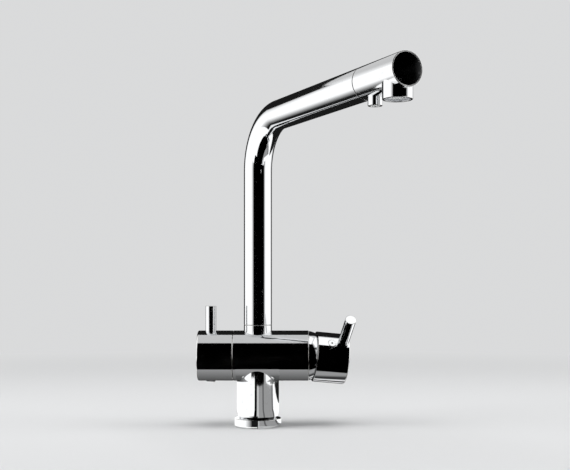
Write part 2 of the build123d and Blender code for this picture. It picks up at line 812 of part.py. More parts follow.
with BuildPart() as cartridge_nut:
    bar(barrel_plane, shoulder_at, dome_foot, nut_thread_radius)
    bar(barrel_plane, shoulder_at, dome_foot, nut_bore_radius, Mode.SUBTRACT)
    with BuildSketch(barrel_plane.offset(dome_foot)):
        with PolarLocations(nut_bore_radius, 4):
            Rectangle(cartridge_wall * 2, cartridge_wall * 2)
    extrude(amount=-cartridge_wall, mode=Mode.SUBTRACT)

# ---------------------------------------------------------------- mixer handle
# The cap rocks over a spherical skirt whose centre is the stem's pivot.
dome_low = dome_foot - pivot_at
web_high = dome_low + dome_wall
dome_inner = dome_radius - dome_wall
opening_radius = dome_opening / 2
pivot_plane = Plane(origin=pivot, x_dir=(0, 1, 0), z_dir=(1, 0, 0))


def skirt_arc(radius, low, high):
    """An arc about the pivot between two heights along the axis."""
    start = degrees(asin(low / radius))
    return CenterArc((0, 0), radius, start, degrees(asin(high / radius)) - start)


with BuildPart() as mixer_dome:
    with BuildSketch(lathe(pivot_plane)):
        with BuildLine():
            outside = skirt_arc(dome_radius, dome_low, dome_height)
            inside = skirt_arc(dome_inner, web_high, dome_height)
            Line(outside @ 1, inside @ 1)
            Polyline(
                inside @ 0, (opening_radius, web_high), (opening_radius, dome_low), outside @ 0
            )
        make_face()
    revolve(axis=Axis(pivot, (1, 0, 0)))

mixer_floor = mixer_cap_end - cap_wall
mixer_pin_at = mixer_cap_end - mixer_pin_inset
boss_radius = mixer_boss_diameter / 2
button_radius = button_diameter / 2
mixer_pin_plane = Plane(
    origin=cap_plane.offset(mixer_pin_at).origin, x_dir=turn_pin, z_dir=cap_out
)
button_plane = Plane(
    origin=cap_plane.offset(mixer_pin_at - button_spacing).origin,
    x_dir=turn_pin,
    z_dir=cap_out,
)
with BuildPart() as mixer_cap:
    bar(cap_plane, mixer_cap_start, mixer_cap_end, barrel_radius)
    fillet(outer_edges(mixer_cap, cap_plane, mixer_cap_end), cap_edge_radius)
    bar(
        cap_plane,
        mixer_cap_start,
        mixer_cap_start + mixer_cap_rim_depth,
        barrel_radius - mixer_cap_rim,
        Mode.SUBTRACT,
    )
    bar(cap_plane, mixer_cap_start, mixer_floor, barrel_radius - cap_wall, Mode.SUBTRACT)
    bar(cap_plane, mixer_boss_start, mixer_floor, boss_radius)
    block(
        cap_plane,
        mixer_boss_start,
        stem_length + loose,
        stem_width + 2 * running,
        stem_depth + 2 * running,
        Mode.SUBTRACT,
    )
    bar(mixer_pin_plane, stem_depth / 2, boss_radius, stud_radius + running, Mode.SUBTRACT)
    bar(mixer_pin_plane, boss_radius, barrel_radius, pin_radius + running, Mode.SUBTRACT)
    bar(button_plane, 0, boss_radius, grub_radius + running, Mode.SUBTRACT)
    bar(button_plane, boss_radius, barrel_radius, button_radius + running, Mode.SUBTRACT)
with BuildPart() as mixer_pin:
    bar(mixer_pin_plane, pin_seat, barrel_radius + mixer_pin_length, pin_radius)
    fillet(
        outer_edges(mixer_pin, mixer_pin_plane, barrel_radius + mixer_pin_length),
        pin_edge_radius,
    )
    bar(mixer_pin_plane, stem_depth / 2 + loose, pin_seat, stud_radius)
with BuildPart() as index_button:
    bar(button_plane, barrel_radius - cap_wall, barrel_radius + button_rise, button_radius)
    fillet(
        outer_edges(index_button, button_plane, barrel_radius + button_rise), button_rise
    )
mixer_cap_screw = grub_screw(
    button_plane, stem_depth / 2 + running, boss_radius - loose, grub_radius
)

# ---------------------------------------------------------------- files
pieces = {
    "base_ring": base_ring,
    "base_seal": base_seal,
    "body_casting": body_casting,
    "threaded_shank": threaded_shank,
    "rubber_washer": rubber_washer,
    "clamp_washer": clamp_washer,
    "shank_nut": shank_nut,
    "spout_screw": spout_screw,
    "slide_ring": slide_ring,
    "spout_spigot": spout_spigot,
    "spigot_seals": spigot_seals,
    "spout_tube": spout_tube,
    "filter_tube": filter_tube,
    "joint_sleeve": joint_sleeve,
    "spout_head": spout_head,
    "end_disc": end_disc,
    "aerator_housing": aerator_housing,
    "aerator_insert": aerator_insert,
    "aerator_seal": aerator_seal,
    "nozzle_insert": nozzle_insert,
    "filter_valve_body": filter_valve_body,
    "filter_fixed_disc": filter_fixed_disc,
    "filter_moving_disc": filter_moving_disc,
    "filter_valve_seal": filter_valve_seal,
    "filter_spindle": filter_spindle,
    "filter_cap": filter_cap,
    "filter_pin": filter_pin,
    "filter_cap_plug": filter_cap_plug,
    "filter_cap_screw": filter_cap_screw,
    "cartridge_base_plate": cartridge_base_plate,
    "cartridge_seals": cartridge_seals,
    "cartridge_shell": cartridge_shell,
    "cartridge_nut": cartridge_nut,
    "fixed_disc": fixed_disc,
    "moving_disc": moving_disc,
    "disc_driver": disc_driver,
    "stem_carrier": stem_carrier,
    "stem_pin": stem_pin,
    "mixer_stem": mixer_stem,
    "mixer_dome": mixer_dome,
    "mixer_cap": mixer_cap,
    "mixer_pin": mixer_pin,
    "index_button": index_button,
    "mixer_cap_screw": mixer_cap_screw,
}
os.makedirs("parts", exist_ok=True)
for label, piece in pieces.items():
    piece.part.label = label
    export_step(piece.part, f"parts/{label}.step")
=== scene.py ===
"""Dresses a three way filtered water tap for a studio picture.

The tap's sizes are in millimetres and angles in degrees. Meshes, cards, lamps and the camera are
in metres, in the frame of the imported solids: +Z up, origin on the deck under the riser, mixer
handle at +X, front at -Y.
"""

from __future__ import annotations

import logging
import math
from dataclasses import dataclass, field
from enum import Enum, IntEnum
from functools import cache
from typing import Callable, Iterable, Optional, Sequence

import bpy
import numpy as np
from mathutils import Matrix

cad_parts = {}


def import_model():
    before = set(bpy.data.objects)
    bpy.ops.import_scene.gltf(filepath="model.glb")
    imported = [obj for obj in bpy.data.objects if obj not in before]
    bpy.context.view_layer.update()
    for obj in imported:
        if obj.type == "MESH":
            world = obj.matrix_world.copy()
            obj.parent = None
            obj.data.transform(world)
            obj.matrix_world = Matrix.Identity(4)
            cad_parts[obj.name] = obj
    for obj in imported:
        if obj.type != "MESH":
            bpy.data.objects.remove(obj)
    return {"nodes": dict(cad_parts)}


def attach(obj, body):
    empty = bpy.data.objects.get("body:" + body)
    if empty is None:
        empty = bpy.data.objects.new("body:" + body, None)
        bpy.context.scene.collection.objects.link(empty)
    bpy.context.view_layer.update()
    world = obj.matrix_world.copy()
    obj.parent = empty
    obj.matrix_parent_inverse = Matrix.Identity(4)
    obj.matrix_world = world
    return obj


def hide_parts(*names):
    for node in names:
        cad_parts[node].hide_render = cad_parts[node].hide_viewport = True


LOG = logging.getLogger("tap")
METRE = 0.001
FULL_TURN = 2.0 * math.pi
QUARTER_TURN = math.pi / 2
RIGHT, BACK, UP = np.eye(3)
Triple = tuple[float, float, float]
Socket = bpy.types.NodeSocket
Rows = tuple[np.ndarray, np.ndarray, np.ndarray]
FRAME_NODES: dict[str, bpy.types.Object] = {}


class Columns(IntEnum):
    """How many columns go round a turned sheet, by how large it looks."""

    TINY = 48
    SMALL = 96
    MEDIUM = 160
    LARGE = 192
    LARGEST = 224


# ------------------------------------------------------------------------------- places
def leaning(first: np.ndarray, second: np.ndarray, angle: float) -> np.ndarray:
    """A direction turned by an angle towards another: cosine of the first, sine of the second."""
    return math.cos(math.radians(angle)) * first + math.sin(math.radians(angle)) * second


@dataclass(frozen=True)
class Axes:
    """A place to build on: an origin and three unit vectors, with w the axis of turning."""

    origin: np.ndarray
    u: np.ndarray
    v: np.ndarray
    w: np.ndarray

    @classmethod
    def along(cls, origin: Sequence[float], w: Sequence[float], u: Sequence[float]) -> Axes:
        """Sets up right-handed axes; v is w cross u.

        Args:
            origin: the point that stations are counted from.
            w: the direction of the axis.
            u: the direction at which angles about the axis start.

        Returns:
            The axes.
        """
        axis, start = (np.asarray(way, float) / np.linalg.norm(way) for way in (w, u))
        return cls(np.asarray(origin, float), start, np.cross(axis, start), axis)

    def at(self, station: float) -> np.ndarray:
        """The axis' point at a station."""
        return self.origin + station * self.w

    def frames(self, station: np.ndarray) -> tuple[np.ndarray, ...]:
        """The centre, which is the origin plus the station times w, and u, v and w.

        Args:
            station: distances along w.

        Returns:
            Centres, u, v and w, one row for each station.
        """
        centres = self.origin + station[:, None] * self.w
        return (centres, *(np.tile(way, (len(station), 1)) for way in (self.u, self.v, self.w)))

    def radial(self, points: np.ndarray) -> np.ndarray:
        """Distance of each point from the axis."""
        return np.linalg.norm(np.cross(points - self.origin, self.w), axis=1)

    def station(self, points: np.ndarray) -> np.ndarray:
        """Distance of each point along the axis."""
        return (points - self.origin) @ self.w


@dataclass(frozen=True)
class BentRoute:
    """A vertical rise, a quarter bend and a level run, counted by the length of its centre line."""

    side: np.ndarray
    run: np.ndarray
    rise_end: float
    bend_radius: float
    row_spacing: float = 1.1

    @property
    def bend_end(self) -> float:
        """The station at which the bend ends."""
        return self.rise_end + self.bend_radius * QUARTER_TURN

    def run_station(self, reach: float) -> float:
        """The station of a point on the level run at a distance from the riser's axis."""
        return self.bend_end + reach - self.bend_radius

    def stops(self) -> np.ndarray:
        """Stations of the rows that follow the bend."""
        rows = int((self.bend_end - self.rise_end) / self.row_spacing)
        return np.linspace(self.rise_end, self.bend_end, rows)

    def frames(self, station: np.ndarray) -> tuple[np.ndarray, ...]:
        """The centre and the three unit vectors at each station.

        The angle turned is the length past the rise over the bend's radius, kept from 0 to a
        quarter turn. The centre goes up the rise, round the bend's circle by that angle, then
        along the run by what length is left.

        Args:
            station: lengths along the centre line.

        Returns:
            Centres, u, v and w, one row for each station.
        """
        angle = np.clip((station - self.rise_end) / self.bend_radius, 0.0, QUARTER_TURN)[:, None]
        below = np.minimum(station, self.rise_end)[:, None]
        past = np.maximum(station - self.bend_end, 0.0)[:, None]
        height = below + self.bend_radius * np.sin(angle)
        reach = self.bend_radius * (1.0 - np.cos(angle)) + past
        forward = np.cos(angle) * UP + np.sin(angle) * self.run
        across = np.tile(self.side, (len(station), 1))
        return height * UP + reach * self.run, across, np.cross(forward, across), forward


# ----------------------------------------------------------------------------- outlines
CRISP, EASED, SOFT = 0.1, 0.2, 0.3
"""The small rounds on most edges."""


@dataclass(frozen=True)
class Outline:
    """A run of points across a turned wall, with the outward normal and the edge weight there.

    The outline goes up the outside and down the inside, so the normal is the direction of
    travel turned a quarter to its right.
    """

    radius: np.ndarray
    station: np.ndarray
    normal: np.ndarray
    edge: np.ndarray
    looped: bool = False

    EDGE_REACH = 0.5
    EDGE_SHARE = 0.3
    ARC_STEPS = 6
    STEEP = 0.5

    @classmethod
    def through(
        cls, *corners: tuple[float, ...], looped: bool = False, stops: Sequence[float] = ()
    ) -> Outline:
        """Joins corners by straight walls and rounds those off that have a round.

        Args:
            corners: the radius and station of each, and its round where it has one.
            looped: whether the last corner joins the first.
            stops: stations at which walls get rows of their own.

        Returns:
            The outline.
        """
        spots = np.array([corner[:2] for corner in corners], float)
        rounds = [sum(corner[2:]) for corner in corners]
        count = len(spots)
        runs = (np.roll(spots, -1, axis=0) - spots)[: count if looped else count - 1]
        lengths = np.linalg.norm(runs, axis=1)
        ways = runs / lengths[:, None]
        inner = range(count) if looped else range(1, count - 1)
        trims = np.zeros(count)
        for index in inner:
            trims[index] = rounds[index] * math.tan(cls._bend(ways[index - 1], ways[index]) / 2)
        rows: list[Rows] = []
        for index, spot in enumerate(spots):
            if index in inner:
                rows.append(cls._corner(spot, ways[index - 1], ways[index], rounds[index]))
            else:
                rows.append((spot[None], cls._normal(ways[min(index, count - 2)])[None], np.zeros(1)))
            if index < len(ways):
                high = lengths[index] - trims[(index + 1) % count]
                rows.append(cls._wall(spot, ways[index], trims[index], high, stops))
        points, normals, edge = (np.concatenate(blocks) for blocks in zip(*rows))
        return cls(points[:, 0], points[:, 1], normals, edge, looped)

    @staticmethod
    def _normal(way: np.ndarray) -> np.ndarray:
        """The direction of travel turned a quarter to its right."""
        return np.array([way[1], -way[0]])

    @staticmethod
    def _bend(before: np.ndarray, after: np.ndarray) -> float:
        """The angle between two directions of travel."""
        return math.acos(float(np.clip(before @ after, -1, 1)))

    @classmethod
    def _corner(cls, spot: np.ndarray, before: np.ndarray, after: np.ndarray, size: float) -> Rows:
        """The rows of a corner: an arc that touches both walls, or two rows where it is sharp.

        A point of the arc is its centre plus the round times the normal where the outline
        bulges, and minus that where it is hollow.

        Args:
            spot: the corner's place.
            before: the direction of travel before it.
            after: the direction after it.
            size: its round.

        Returns:
            Points, normals and edge weights.
        """
        bulge = 1.0 if before[0] * after[1] > before[1] * after[0] else -1.0
        angle = cls._bend(before, after)
        first = cls._normal(before)
        middle = first + cls._normal(after)
        centre = spot - bulge * size / math.cos(angle / 2) * middle / np.linalg.norm(middle)
        start = math.atan2(first[1], first[0])
        sweep = np.linspace(start, start + bulge * angle, cls.ARC_STEPS + 1 if size else 2)
        normals = np.stack([np.cos(sweep), np.sin(sweep)], axis=1)
        return centre + bulge * size * normals, normals, np.full(len(sweep), float(size > 0))

    @classmethod
    def _wall(
        cls, spot: np.ndarray, way: np.ndarray, low: float, high: float, stops: Sequence[float]
    ) -> Rows:
        """The rows inside one straight wall: a short way off its two ends, and at the stops.

        Args:
            spot: the corner that it starts from.
            way: its direction.
            low: how far from that corner it starts.
            high: how far from that corner it ends.
            stops: stations at which it gets rows of its own.

        Returns:
            Points, normals and edge weights.
        """
        reach = min(cls.EDGE_REACH, cls.EDGE_SHARE * (high - low))
        along = [low + reach, high - reach]
        if abs(way[1]) > cls.STEEP:
            passed = (np.asarray(stops) - spot[1]) / way[1]
            along += [far for far in passed if low + reach < far < high - reach]
        distance = np.sort(along)[:, None]
        return spot + distance * way, np.tile(cls._normal(way), (len(along), 1)), np.zeros(len(along))

    @classmethod
    def arc(
        cls, centre: tuple[float, float], radius: float, start: float, end: float, steps: int
    ) -> Outline:
        """A bulging arc: the centre plus the radius times the cosine and sine of the angle.

        Args:
            centre: radius and station of the arc's centre.
            radius: the arc's radius.
            start: first angle from the radial direction, in radians.
            end: last angle.
            steps: number of spans.

        Returns:
            The outline.
        """
        sweep = np.linspace(start, end, steps + 1)
        normals = np.stack([np.cos(sweep), np.sin(sweep)], axis=1)
        points = np.asarray(centre) + radius * normals
        return cls(points[:, 0], points[:, 1], normals, np.zeros(len(sweep)))

    def __add__(self, other: Outline) -> Outline:
        """This outline carried on by another that starts where it ends."""
        columns = ("radius", "station", "normal", "edge")
        return Outline(*(np.concatenate([getattr(self, c), getattr(other, c)[1:]]) for c in columns))


# -------------------------------------------------------------------------------- skins
class Skin:
    """Gathers sheets of points into one mesh, with a normal and an edge weight at each point."""

    SAME_PLACE = 1e-7
    LEAST_AREA = 1e-12
    FILLET_ROWS = 7
    FILLET_EDGE = 0.4

    def __init__(self, columns: Columns = Columns.MEDIUM) -> None:
        """Starts an empty skin.

        Args:
            columns: how many columns its round sheets have.
        """
        self.angles = np.linspace(0.0, FULL_TURN, columns, endpoint=False)
        self.blocks: list[Rows] = []
        self.quads: list[np.ndarray] = []
        self.triangles: list[np.ndarray] = []
        self.count = 0

    def sheet(self, points: np.ndarray, normals: np.ndarray, edge: np.ndarray, looped: bool) -> None:
        """Adds a grid that closes on itself round its columns, and shuts poles with a fan.

        Args:
            points: places, by row, column and coordinate.
            normals: unit normals in the same order.
            edge: one edge weight for each row, or for each point.
            looped: whether the last row joins the first.
        """
        rows, columns = points.shape[:2]
        index = self.count + np.arange(rows * columns).reshape(rows, columns)
        beside = np.roll(index, -1, axis=1)
        ring = [index, beside, np.roll(beside, -1, axis=0), np.roll(index, -1, axis=0)]
        faces = np.stack(ring, axis=-1)
        gap = np.linalg.norm(np.roll(points, -1, axis=0) - points, axis=2)
        keep = gap.max(axis=1) > self.SAME_PLACE
        keep[-1] &= looped
        low_pole = np.linalg.norm(points - points[:, :1], axis=2).max(axis=1) < self.SAME_PLACE
        high_pole = np.roll(low_pole, -1)
        self.quads.append(faces[keep & ~low_pole & ~high_pole].reshape(-1, 4))
        for chosen, pole, corners in ((low_pole, 0, (0, 2, 3)), (high_pole, 2, (0, 1, 2))):
            fan = faces[keep & chosen].reshape(-1, 4)
            fan[:, pole] = fan[:1, pole]
            self.triangles.append(fan[:, corners])
        weight = np.broadcast_to(edge.reshape(rows, -1), (rows, columns))
        self.store(points, normals, weight)

    def store(self, points: np.ndarray, normals: np.ndarray, edge: np.ndarray) -> None:
        """Keeps a block of points and counts them."""
        self.blocks.append((points.reshape(-1, 3), normals.reshape(-1, 3), edge.reshape(-1)))
        self.count += edge.size

    def turned(self, route: Axes | BentRoute, outline: Outline) -> Skin:
        """Carries an outline round a straight or bent axis.

        A point is the axis' centre at its station plus its radius times a unit vector that
        turns about the axis; its normal is that vector times the outline normal's first part
        plus the axis' direction times its second part.

        Args:
            route: the axis.
            outline: the wall's outline.

        Returns:
            This skin.
        """
        centres, across, beside, forward = (each[:, None] for each in route.frames(outline.station))
        angle = self.angles[:, None]
        spoke = np.cos(angle) * across + np.sin(angle) * beside
        outward, onward = outline.normal.T[..., None, None]
        points = centres + outline.radius[:, None, None] * spoke
        self.sheet(points, outward * spoke + onward * forward, outline.edge, outline.looped)
        return self

    def branch(self, axes: Axes, main_radius: float, fillet: float, outline: Outline) -> Skin:
        """A tube that grows out of a round bar at right angles, with a fillet at its root.

        A ball as large as the fillet rolls in the corner. At each angle its centre is the
        fillet off both walls: at the branch's radius plus the fillet from the branch's axis,
        and at a height of the root of the square of the bar's radius plus the fillet less the
        square of the centre's distance from the plane of both axes. The fillet's points lie on
        the ball between its two places of touch, and its normals point to the ball's centre.
        The wall's rows start no lower than the fillet's end.

        Args:
            axes: w is the branch's axis away from the bar, u the bar's axis.
            main_radius: radius of the bar.
            fillet: radius of the rolling ball.
            outline: the branch's wall; its first row's radius is the branch's.

        Returns:
            This skin.
        """
        angle = self.angles[:, None]
        spoke = np.cos(angle) * axes.u + np.sin(angle) * axes.v
        away = outline.radius[0] + fillet
        aside = away * np.sin(angle)
        height = np.sqrt((main_radius + fillet) ** 2 - aside**2)
        ball = axes.origin + away * spoke + height * axes.w
        to_bar = -(aside * axes.v + height * axes.w) / (main_radius + fillet)
        between = np.arccos(np.clip(-np.sum(to_bar * spoke, axis=1, keepdims=True), -1, 1))
        share = np.linspace(0.0, 1.0, self.FILLET_ROWS)[:, None, None]
        reach = np.sin((1 - share) * between) * to_bar - np.sin(share * between) * spoke
        reach = reach / np.sin(between)
        lifted = np.maximum(outline.station[:, None, None], height)
        wall = axes.origin + outline.radius[:, None, None] * spoke + lifted * axes.w
        outward, onward = outline.normal.T[..., None, None]
        points = np.concatenate([ball + fillet * reach, wall])
        normals = np.concatenate([-reach, outward * spoke + onward * axes.w])
        edge = np.concatenate([np.full(self.FILLET_ROWS, self.FILLET_EDGE), outline.edge])
        self.sheet(points, normals, edge, False)
        return self

    def solid_inside(self, node: str, keep: Callable[[np.ndarray], np.ndarray]) -> Skin:
        """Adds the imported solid's own triangles where all three corners pass a test.

        Args:
            node: the solid's name.
            keep: takes points in millimetres and says which to keep.

        Returns:
            This skin.
        """
        mesh = FRAME_NODES[node].data
        mesh.calc_loop_triangles()
        places = np.empty(len(mesh.vertices) * 3, np.float32)
        mesh.vertices.foreach_get("co", places)
        corners = np.empty(len(mesh.loop_triangles) * 3, np.int32)
        mesh.loop_triangles.foreach_get("vertices", corners)
        faces = (places.reshape(-1, 3).astype(float) / METRE)[corners.reshape(-1, 3)]
        kept = faces[keep(faces.reshape(-1, 3)).reshape(-1, 3).all(axis=1)]
        cross = np.cross(kept[:, 1] - kept[:, 0], kept[:, 2] - kept[:, 0])
        size = np.maximum(np.linalg.norm(cross, axis=1, keepdims=True), self.LEAST_AREA)
        self.triangles.append(self.count + np.arange(len(kept) * 3).reshape(-1, 3))
        self.store(kept, np.repeat(cross / size, 3, axis=0), np.zeros(len(kept) * 3))
        return self

    def piece(self, name: str, body: str, finish: Finish, node: Optional[str] = None) -> None:
        """Writes the mesh, dresses it and fits it into the frame.

        Args:
            name: the piece's name without its ending.
            body: the body that it rides on.
            finish: its finish.
            node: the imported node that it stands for.
        """
        points, normals, edge = (np.concatenate(parts) for parts in zip(*self.blocks))
        quads, triangles = np.concatenate(self.quads), np.concatenate(self.triangles)
        sizes = np.repeat([4, 3], [len(quads), len(triangles)])
        loops = np.concatenate([quads.ravel(), triangles.ravel()])
        mesh = bpy.data.meshes.new(name + "_skin")
        mesh.vertices.add(len(points))
        mesh.vertices.foreach_set("co", (points * METRE).ravel().astype(np.float32))
        mesh.loops.add(len(loops))
        mesh.loops.foreach_set("vertex_index", loops.astype(np.int32))
        mesh.polygons.add(len(sizes))
        mesh.polygons.foreach_set("loop_start", (np.cumsum(sizes) - sizes).astype(np.int32))
        mesh.update(calc_edges=True)
        mesh.polygons.foreach_set("use_smooth", np.ones(len(sizes), bool))
        weight = mesh.attributes.new("edge", "FLOAT", "POINT")
        weight.data.foreach_set("value", edge.astype(np.float32))
        mesh.normals_split_custom_set_from_vertices(normals.tolist())
        made = bpy.data.objects.new(name + "_skin", mesh)
        bpy.context.scene.collection.objects.link(made)
        mesh.materials.append(finish.material())
        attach(made, body)
        if node:
            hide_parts(node)
        LOG.info("%s: %d points on %s", made.name, len(points), body)


# --------------------------------------------------------------------------- node trees
class Tree:
    """A node tree with short ways to add and join nodes."""

    def __init__(self, tree: bpy.types.NodeTree) -> None:
        """Takes the tree to work in."""
        self.tree = tree

    @classmethod
    def fresh(cls, owner: bpy.types.ID) -> Tree:
        """Empties the tree of a material or a world.

        Args:
            owner: the material or world.

        Returns:
            The tree.
        """
        owner.use_nodes = True
        owner.node_tree.nodes.clear()
        return cls(owner.node_tree)

    def node(self, kind: str, inputs: Optional[dict] = None, **settings: object) -> bpy.types.Node:
        """Adds a shader node.

        Args:
            kind: the node's type without its common prefix.
            inputs: values, or outputs to join, by the name or number of the input.
            settings: properties of the node.

        Returns:
            The node.
        """
        made = self.tree.nodes.new("ShaderNode" + kind)
        for key, value in settings.items():
            setattr(made, key, value)
        for key, value in (inputs or {}).items():
            if isinstance(value, Socket):
                self.tree.links.new(value, made.inputs[key])
            else:
                made.inputs[key].default_value = value
        return made

    def place(self) -> Socket:
        """The point on the object, in the object's own frame."""
        return self.node("TexCoord").outputs["Object"]

    def attribute(self, name: str) -> Socket:
        """A value that the mesh carries at its points."""
        return self.node("Attribute", attribute_name=name).outputs["Fac"]

    def noise(self, place: Socket, scale: object, detail: float, **more: float) -> bpy.types.Node:
        """A noise texture."""
        return self.node("TexNoise", {"Vector": place, "Scale": scale, "Detail": detail, **more})

    def math(self, operation: str, *values: object) -> Socket:
        """The output of a Math node on numbers or sockets."""
        return self.node("Math", dict(enumerate(values)), operation=operation).outputs[0]

    def total(self, start: object, *parts: tuple[Socket, float]) -> Socket:
        """A start with each part added, times its share.

        Args:
            start: a number or an output.
            parts: outputs and their shares.

        Returns:
            The sum.
        """
        for socket, share in parts:
            start = self.math("MULTIPLY_ADD", socket, share, start)
        return start

    def ramp(self, value: Socket, low: float, high: float, start: float = 0.0, end: float = 1.0) -> Socket:
        """A value carried from one range to another and kept inside it."""
        inputs = {0: value, 1: low, 2: high, 3: start, 4: end}
        return self.node("MapRange", inputs, interpolation_type="SMOOTHSTEP").outputs[0]

    def blend(self, share: Socket, first: object, second: object) -> Socket:
        """A colour between two others."""
        pair = [each if isinstance(each, Socket) else (*each, 1.0) for each in (first, second)]
        return self.node("Mix", {0: share, 6: pair[0], 7: pair[1]}, data_type="RGBA").outputs[2]

    def bump(self, height: Socket, strength: float, distance: float) -> Socket:
        """A normal tilted by a height."""
        inputs = {"Strength": strength, "Distance": distance, "Height": height}
        return self.node("Bump", inputs).outputs[0]

    def effect(self, effect: Effect, **values: object) -> Socket:
        """The mask of a shared effect with its own values."""
        return self.node("Group", values, node_tree=effect.group()).outputs[0]


LINE_TURNS = (0.5, 0.3, 0.2), (-0.4, 0.9, 1.9)
LINE_BAND, LINE_PATCHES = (0.68, 0.76), (0.42, 0.68)
"""Where the noise becomes a hairline, and where larger noise lets hairlines show."""
DROP_WOBBLE, DROP_NUDGE = 500.0, 0.0012
"""How fine the wobble of a dried drop's ring is, and how far it reaches."""
DROP_INNER, DROP_OUTER, DROP_CHANCE = (0.2, 0.27), (0.36, 0.29), (0.78, 0.82)
"""A ring's inner and outer side, and the chance above which a drop left one."""
SMUDGE_BAND, SMUDGE_WARP = (0.4, 0.72), 0.7
TOOL_BAND = (0.3, 0.7)
PATCHES_SCALE, MOULD_SCALE = 35.0, 60.0
"""How many patches to a metre thin out hairlines, and a moulding's grain."""


class Effect(Enum):
    """Effects that several materials share, each a node group that puts out a mask."""

    HAIRLINES = "hairline_scratches"
    DROPLETS = "dried_droplets"
    SMUDGES = "smudges"
    TOOL_MARKS = "tool_marks"
    GRAIN = "moulded_grain"

    @cache
    def group(self) -> bpy.types.NodeTree:
        """The effect's node group, built on first use.

        Returns:
            The group.
        """
        made = bpy.data.node_groups.new(self.value, "ShaderNodeTree")
        inputs, build = {
            Effect.HAIRLINES: ({"Length": 90.0, "Fineness": 2600.0, "Share": 0.3}, self.hairlines),
            Effect.DROPLETS: ({"Count": 210.0, "Share": 0.5}, self.droplets),
            Effect.SMUDGES: ({"Scale": 28.0}, self.smudges),
            Effect.TOOL_MARKS: ({"Fineness": 2200.0, "Axis": (0.0, 0.0, 1.0)}, self.tool_marks),
            Effect.GRAIN: ({"Scale": 900.0}, self.grain),
        }[self]
        for name, value in inputs.items():
            kind = "NodeSocketVector" if isinstance(value, tuple) else "NodeSocketFloat"
            made.interface.new_socket(name, in_out="INPUT", socket_type=kind).default_value = value
        made.interface.new_socket("Mask", in_out="OUTPUT", socket_type="NodeSocketFloat")
        given = made.nodes.new("NodeGroupInput").outputs
        tree = Tree(made)
        mask = build(tree, tree.place(), given)
        made.links.new(mask, made.nodes.new("NodeGroupOutput").inputs[0])
        return made

    @staticmethod
    def hairlines(tree: Tree, place: Socket, given: Sequence[Socket]) -> Socket:
        """Thin lines two ways: noise drawn out along one direction and cut near its top.

        Args:
            tree: the group's tree.
            place: the point on the object.
            given: how long and how fine the lines are, and how strong.

        Returns:
            The mask.
        """
        lines = []
        for turn in LINE_TURNS:
            stretch = tree.node("CombineXYZ", {0: given[0], 1: given[1], 2: given[1]}).outputs[0]
            mapped = tree.node("Mapping", {"Vector": place, "Rotation": turn, "Scale": stretch})
            noise = tree.noise(mapped.outputs[0], 1.0, 1.0)
            lines.append(tree.ramp(noise.outputs[0], *LINE_BAND))
        where = tree.ramp(tree.noise(place, PATCHES_SCALE, 3.0).outputs[0], *LINE_PATCHES)
        total = tree.math("MULTIPLY", tree.math("MAXIMUM", *lines), where)
        return tree.math("MULTIPLY", total, given[2])

    @staticmethod
    def droplets(tree: Tree, place: Socket, given: Sequence[Socket]) -> Socket:
        """Rings left by drops: a band of the distance to scattered points, on a few of them.

        Args:
            tree: the group's tree.
            place: the point on the object.
            given: how many drops there are to a metre, and how strong.

        Returns:
            The mask.
        """
        bend = tree.noise(place, DROP_WOBBLE, 2.0).outputs[1]
        nudge = tree.node("VectorMath", {0: bend, 3: DROP_NUDGE}, operation="SCALE").outputs[0]
        spot = tree.node("VectorMath", {0: place, 1: nudge}, operation="ADD").outputs[0]
        cells = tree.node("TexVoronoi", {"Vector": spot, "Scale": given[0]})
        distance = cells.outputs[0]
        sides = (tree.ramp(distance, *side) for side in (DROP_INNER, DROP_OUTER))
        ring = tree.math("MULTIPLY", *sides)
        chance = tree.node("SeparateColor", {0: cells.outputs[1]}).outputs[0]
        few = tree.ramp(chance, *DROP_CHANCE)
        return tree.math("MULTIPLY", tree.math("MULTIPLY", ring, few), given[1])

    @staticmethod
    def smudges(tree: Tree, place: Socket, given: Sequence[Socket]) -> Socket:
        """Soft patches: noise with another noise in its place; given is its scale."""
        patches = tree.noise(place, given[0], 5.0, Distortion=SMUDGE_WARP).outputs[0]
        return tree.ramp(patches, *SMUDGE_BAND)

    @staticmethod
    def tool_marks(tree: Tree, place: Socket, given: Sequence[Socket]) -> Socket:
        """Rings left by a cutting tool: noise of the distance along the axis of turning.

        Args:
            tree: the group's tree.
            place: the point on the object.
            given: how fine the rings are, and the axis.

        Returns:
            The mask.
        """
        along = tree.node("VectorMath", {0: place, 1: given[1]}, operation="DOT_PRODUCT").outputs[1]
        inputs = {"W": tree.math("MULTIPLY", along, given[0]), "Scale": 1.0, "Detail": 3.0}
        noise = tree.node("TexNoise", inputs, noise_dimensions="1D")
        return tree.ramp(noise.outputs[0], *TOOL_BAND)

    @staticmethod
    def grain(tree: Tree, place: Socket, given: Sequence[Socket]) -> Socket:
        """The fine skin of a moulding: small noise over larger noise; given is its scale."""
        fine = tree.noise(place, given[0], 4.0).outputs[0]
        return tree.math("MULTIPLY", fine, tree.noise(place, MOULD_SCALE, 3.0).outputs[0])


# ------------------------------------------------------------------------------ finishes
@dataclass(frozen=True)
class Finish:
    """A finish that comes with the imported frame: its name and the record's slot it belongs to."""

    name: str
    slot: str

    def material(self) -> bpy.types.Material:
        """The frame's own plain material of that name."""
        return bpy.data.materials[self.name]


@dataclass(frozen=True)
class Worked(Finish):
    """A finish with nodes of its own, worked out from its main colour."""

    colour: Triple

    @cache
    def material(self) -> bpy.types.Material:
        """The finish's material, built on first use.

        Returns:
            The material.
        """
        made = bpy.data.materials.new(self.name)
        made.diffuse_color = (*self.colour, 1.0)
        tree = Tree.fresh(made)
        shader = tree.node("BsdfPrincipled", self.inputs(tree))
        tree.node("OutputMaterial", {0: shader.outputs[0]})
        return made

    def inputs(self, tree: Tree) -> dict[str, object]:
        """The shader's inputs, which each kind of finish has its own of."""
        raise NotImplementedError


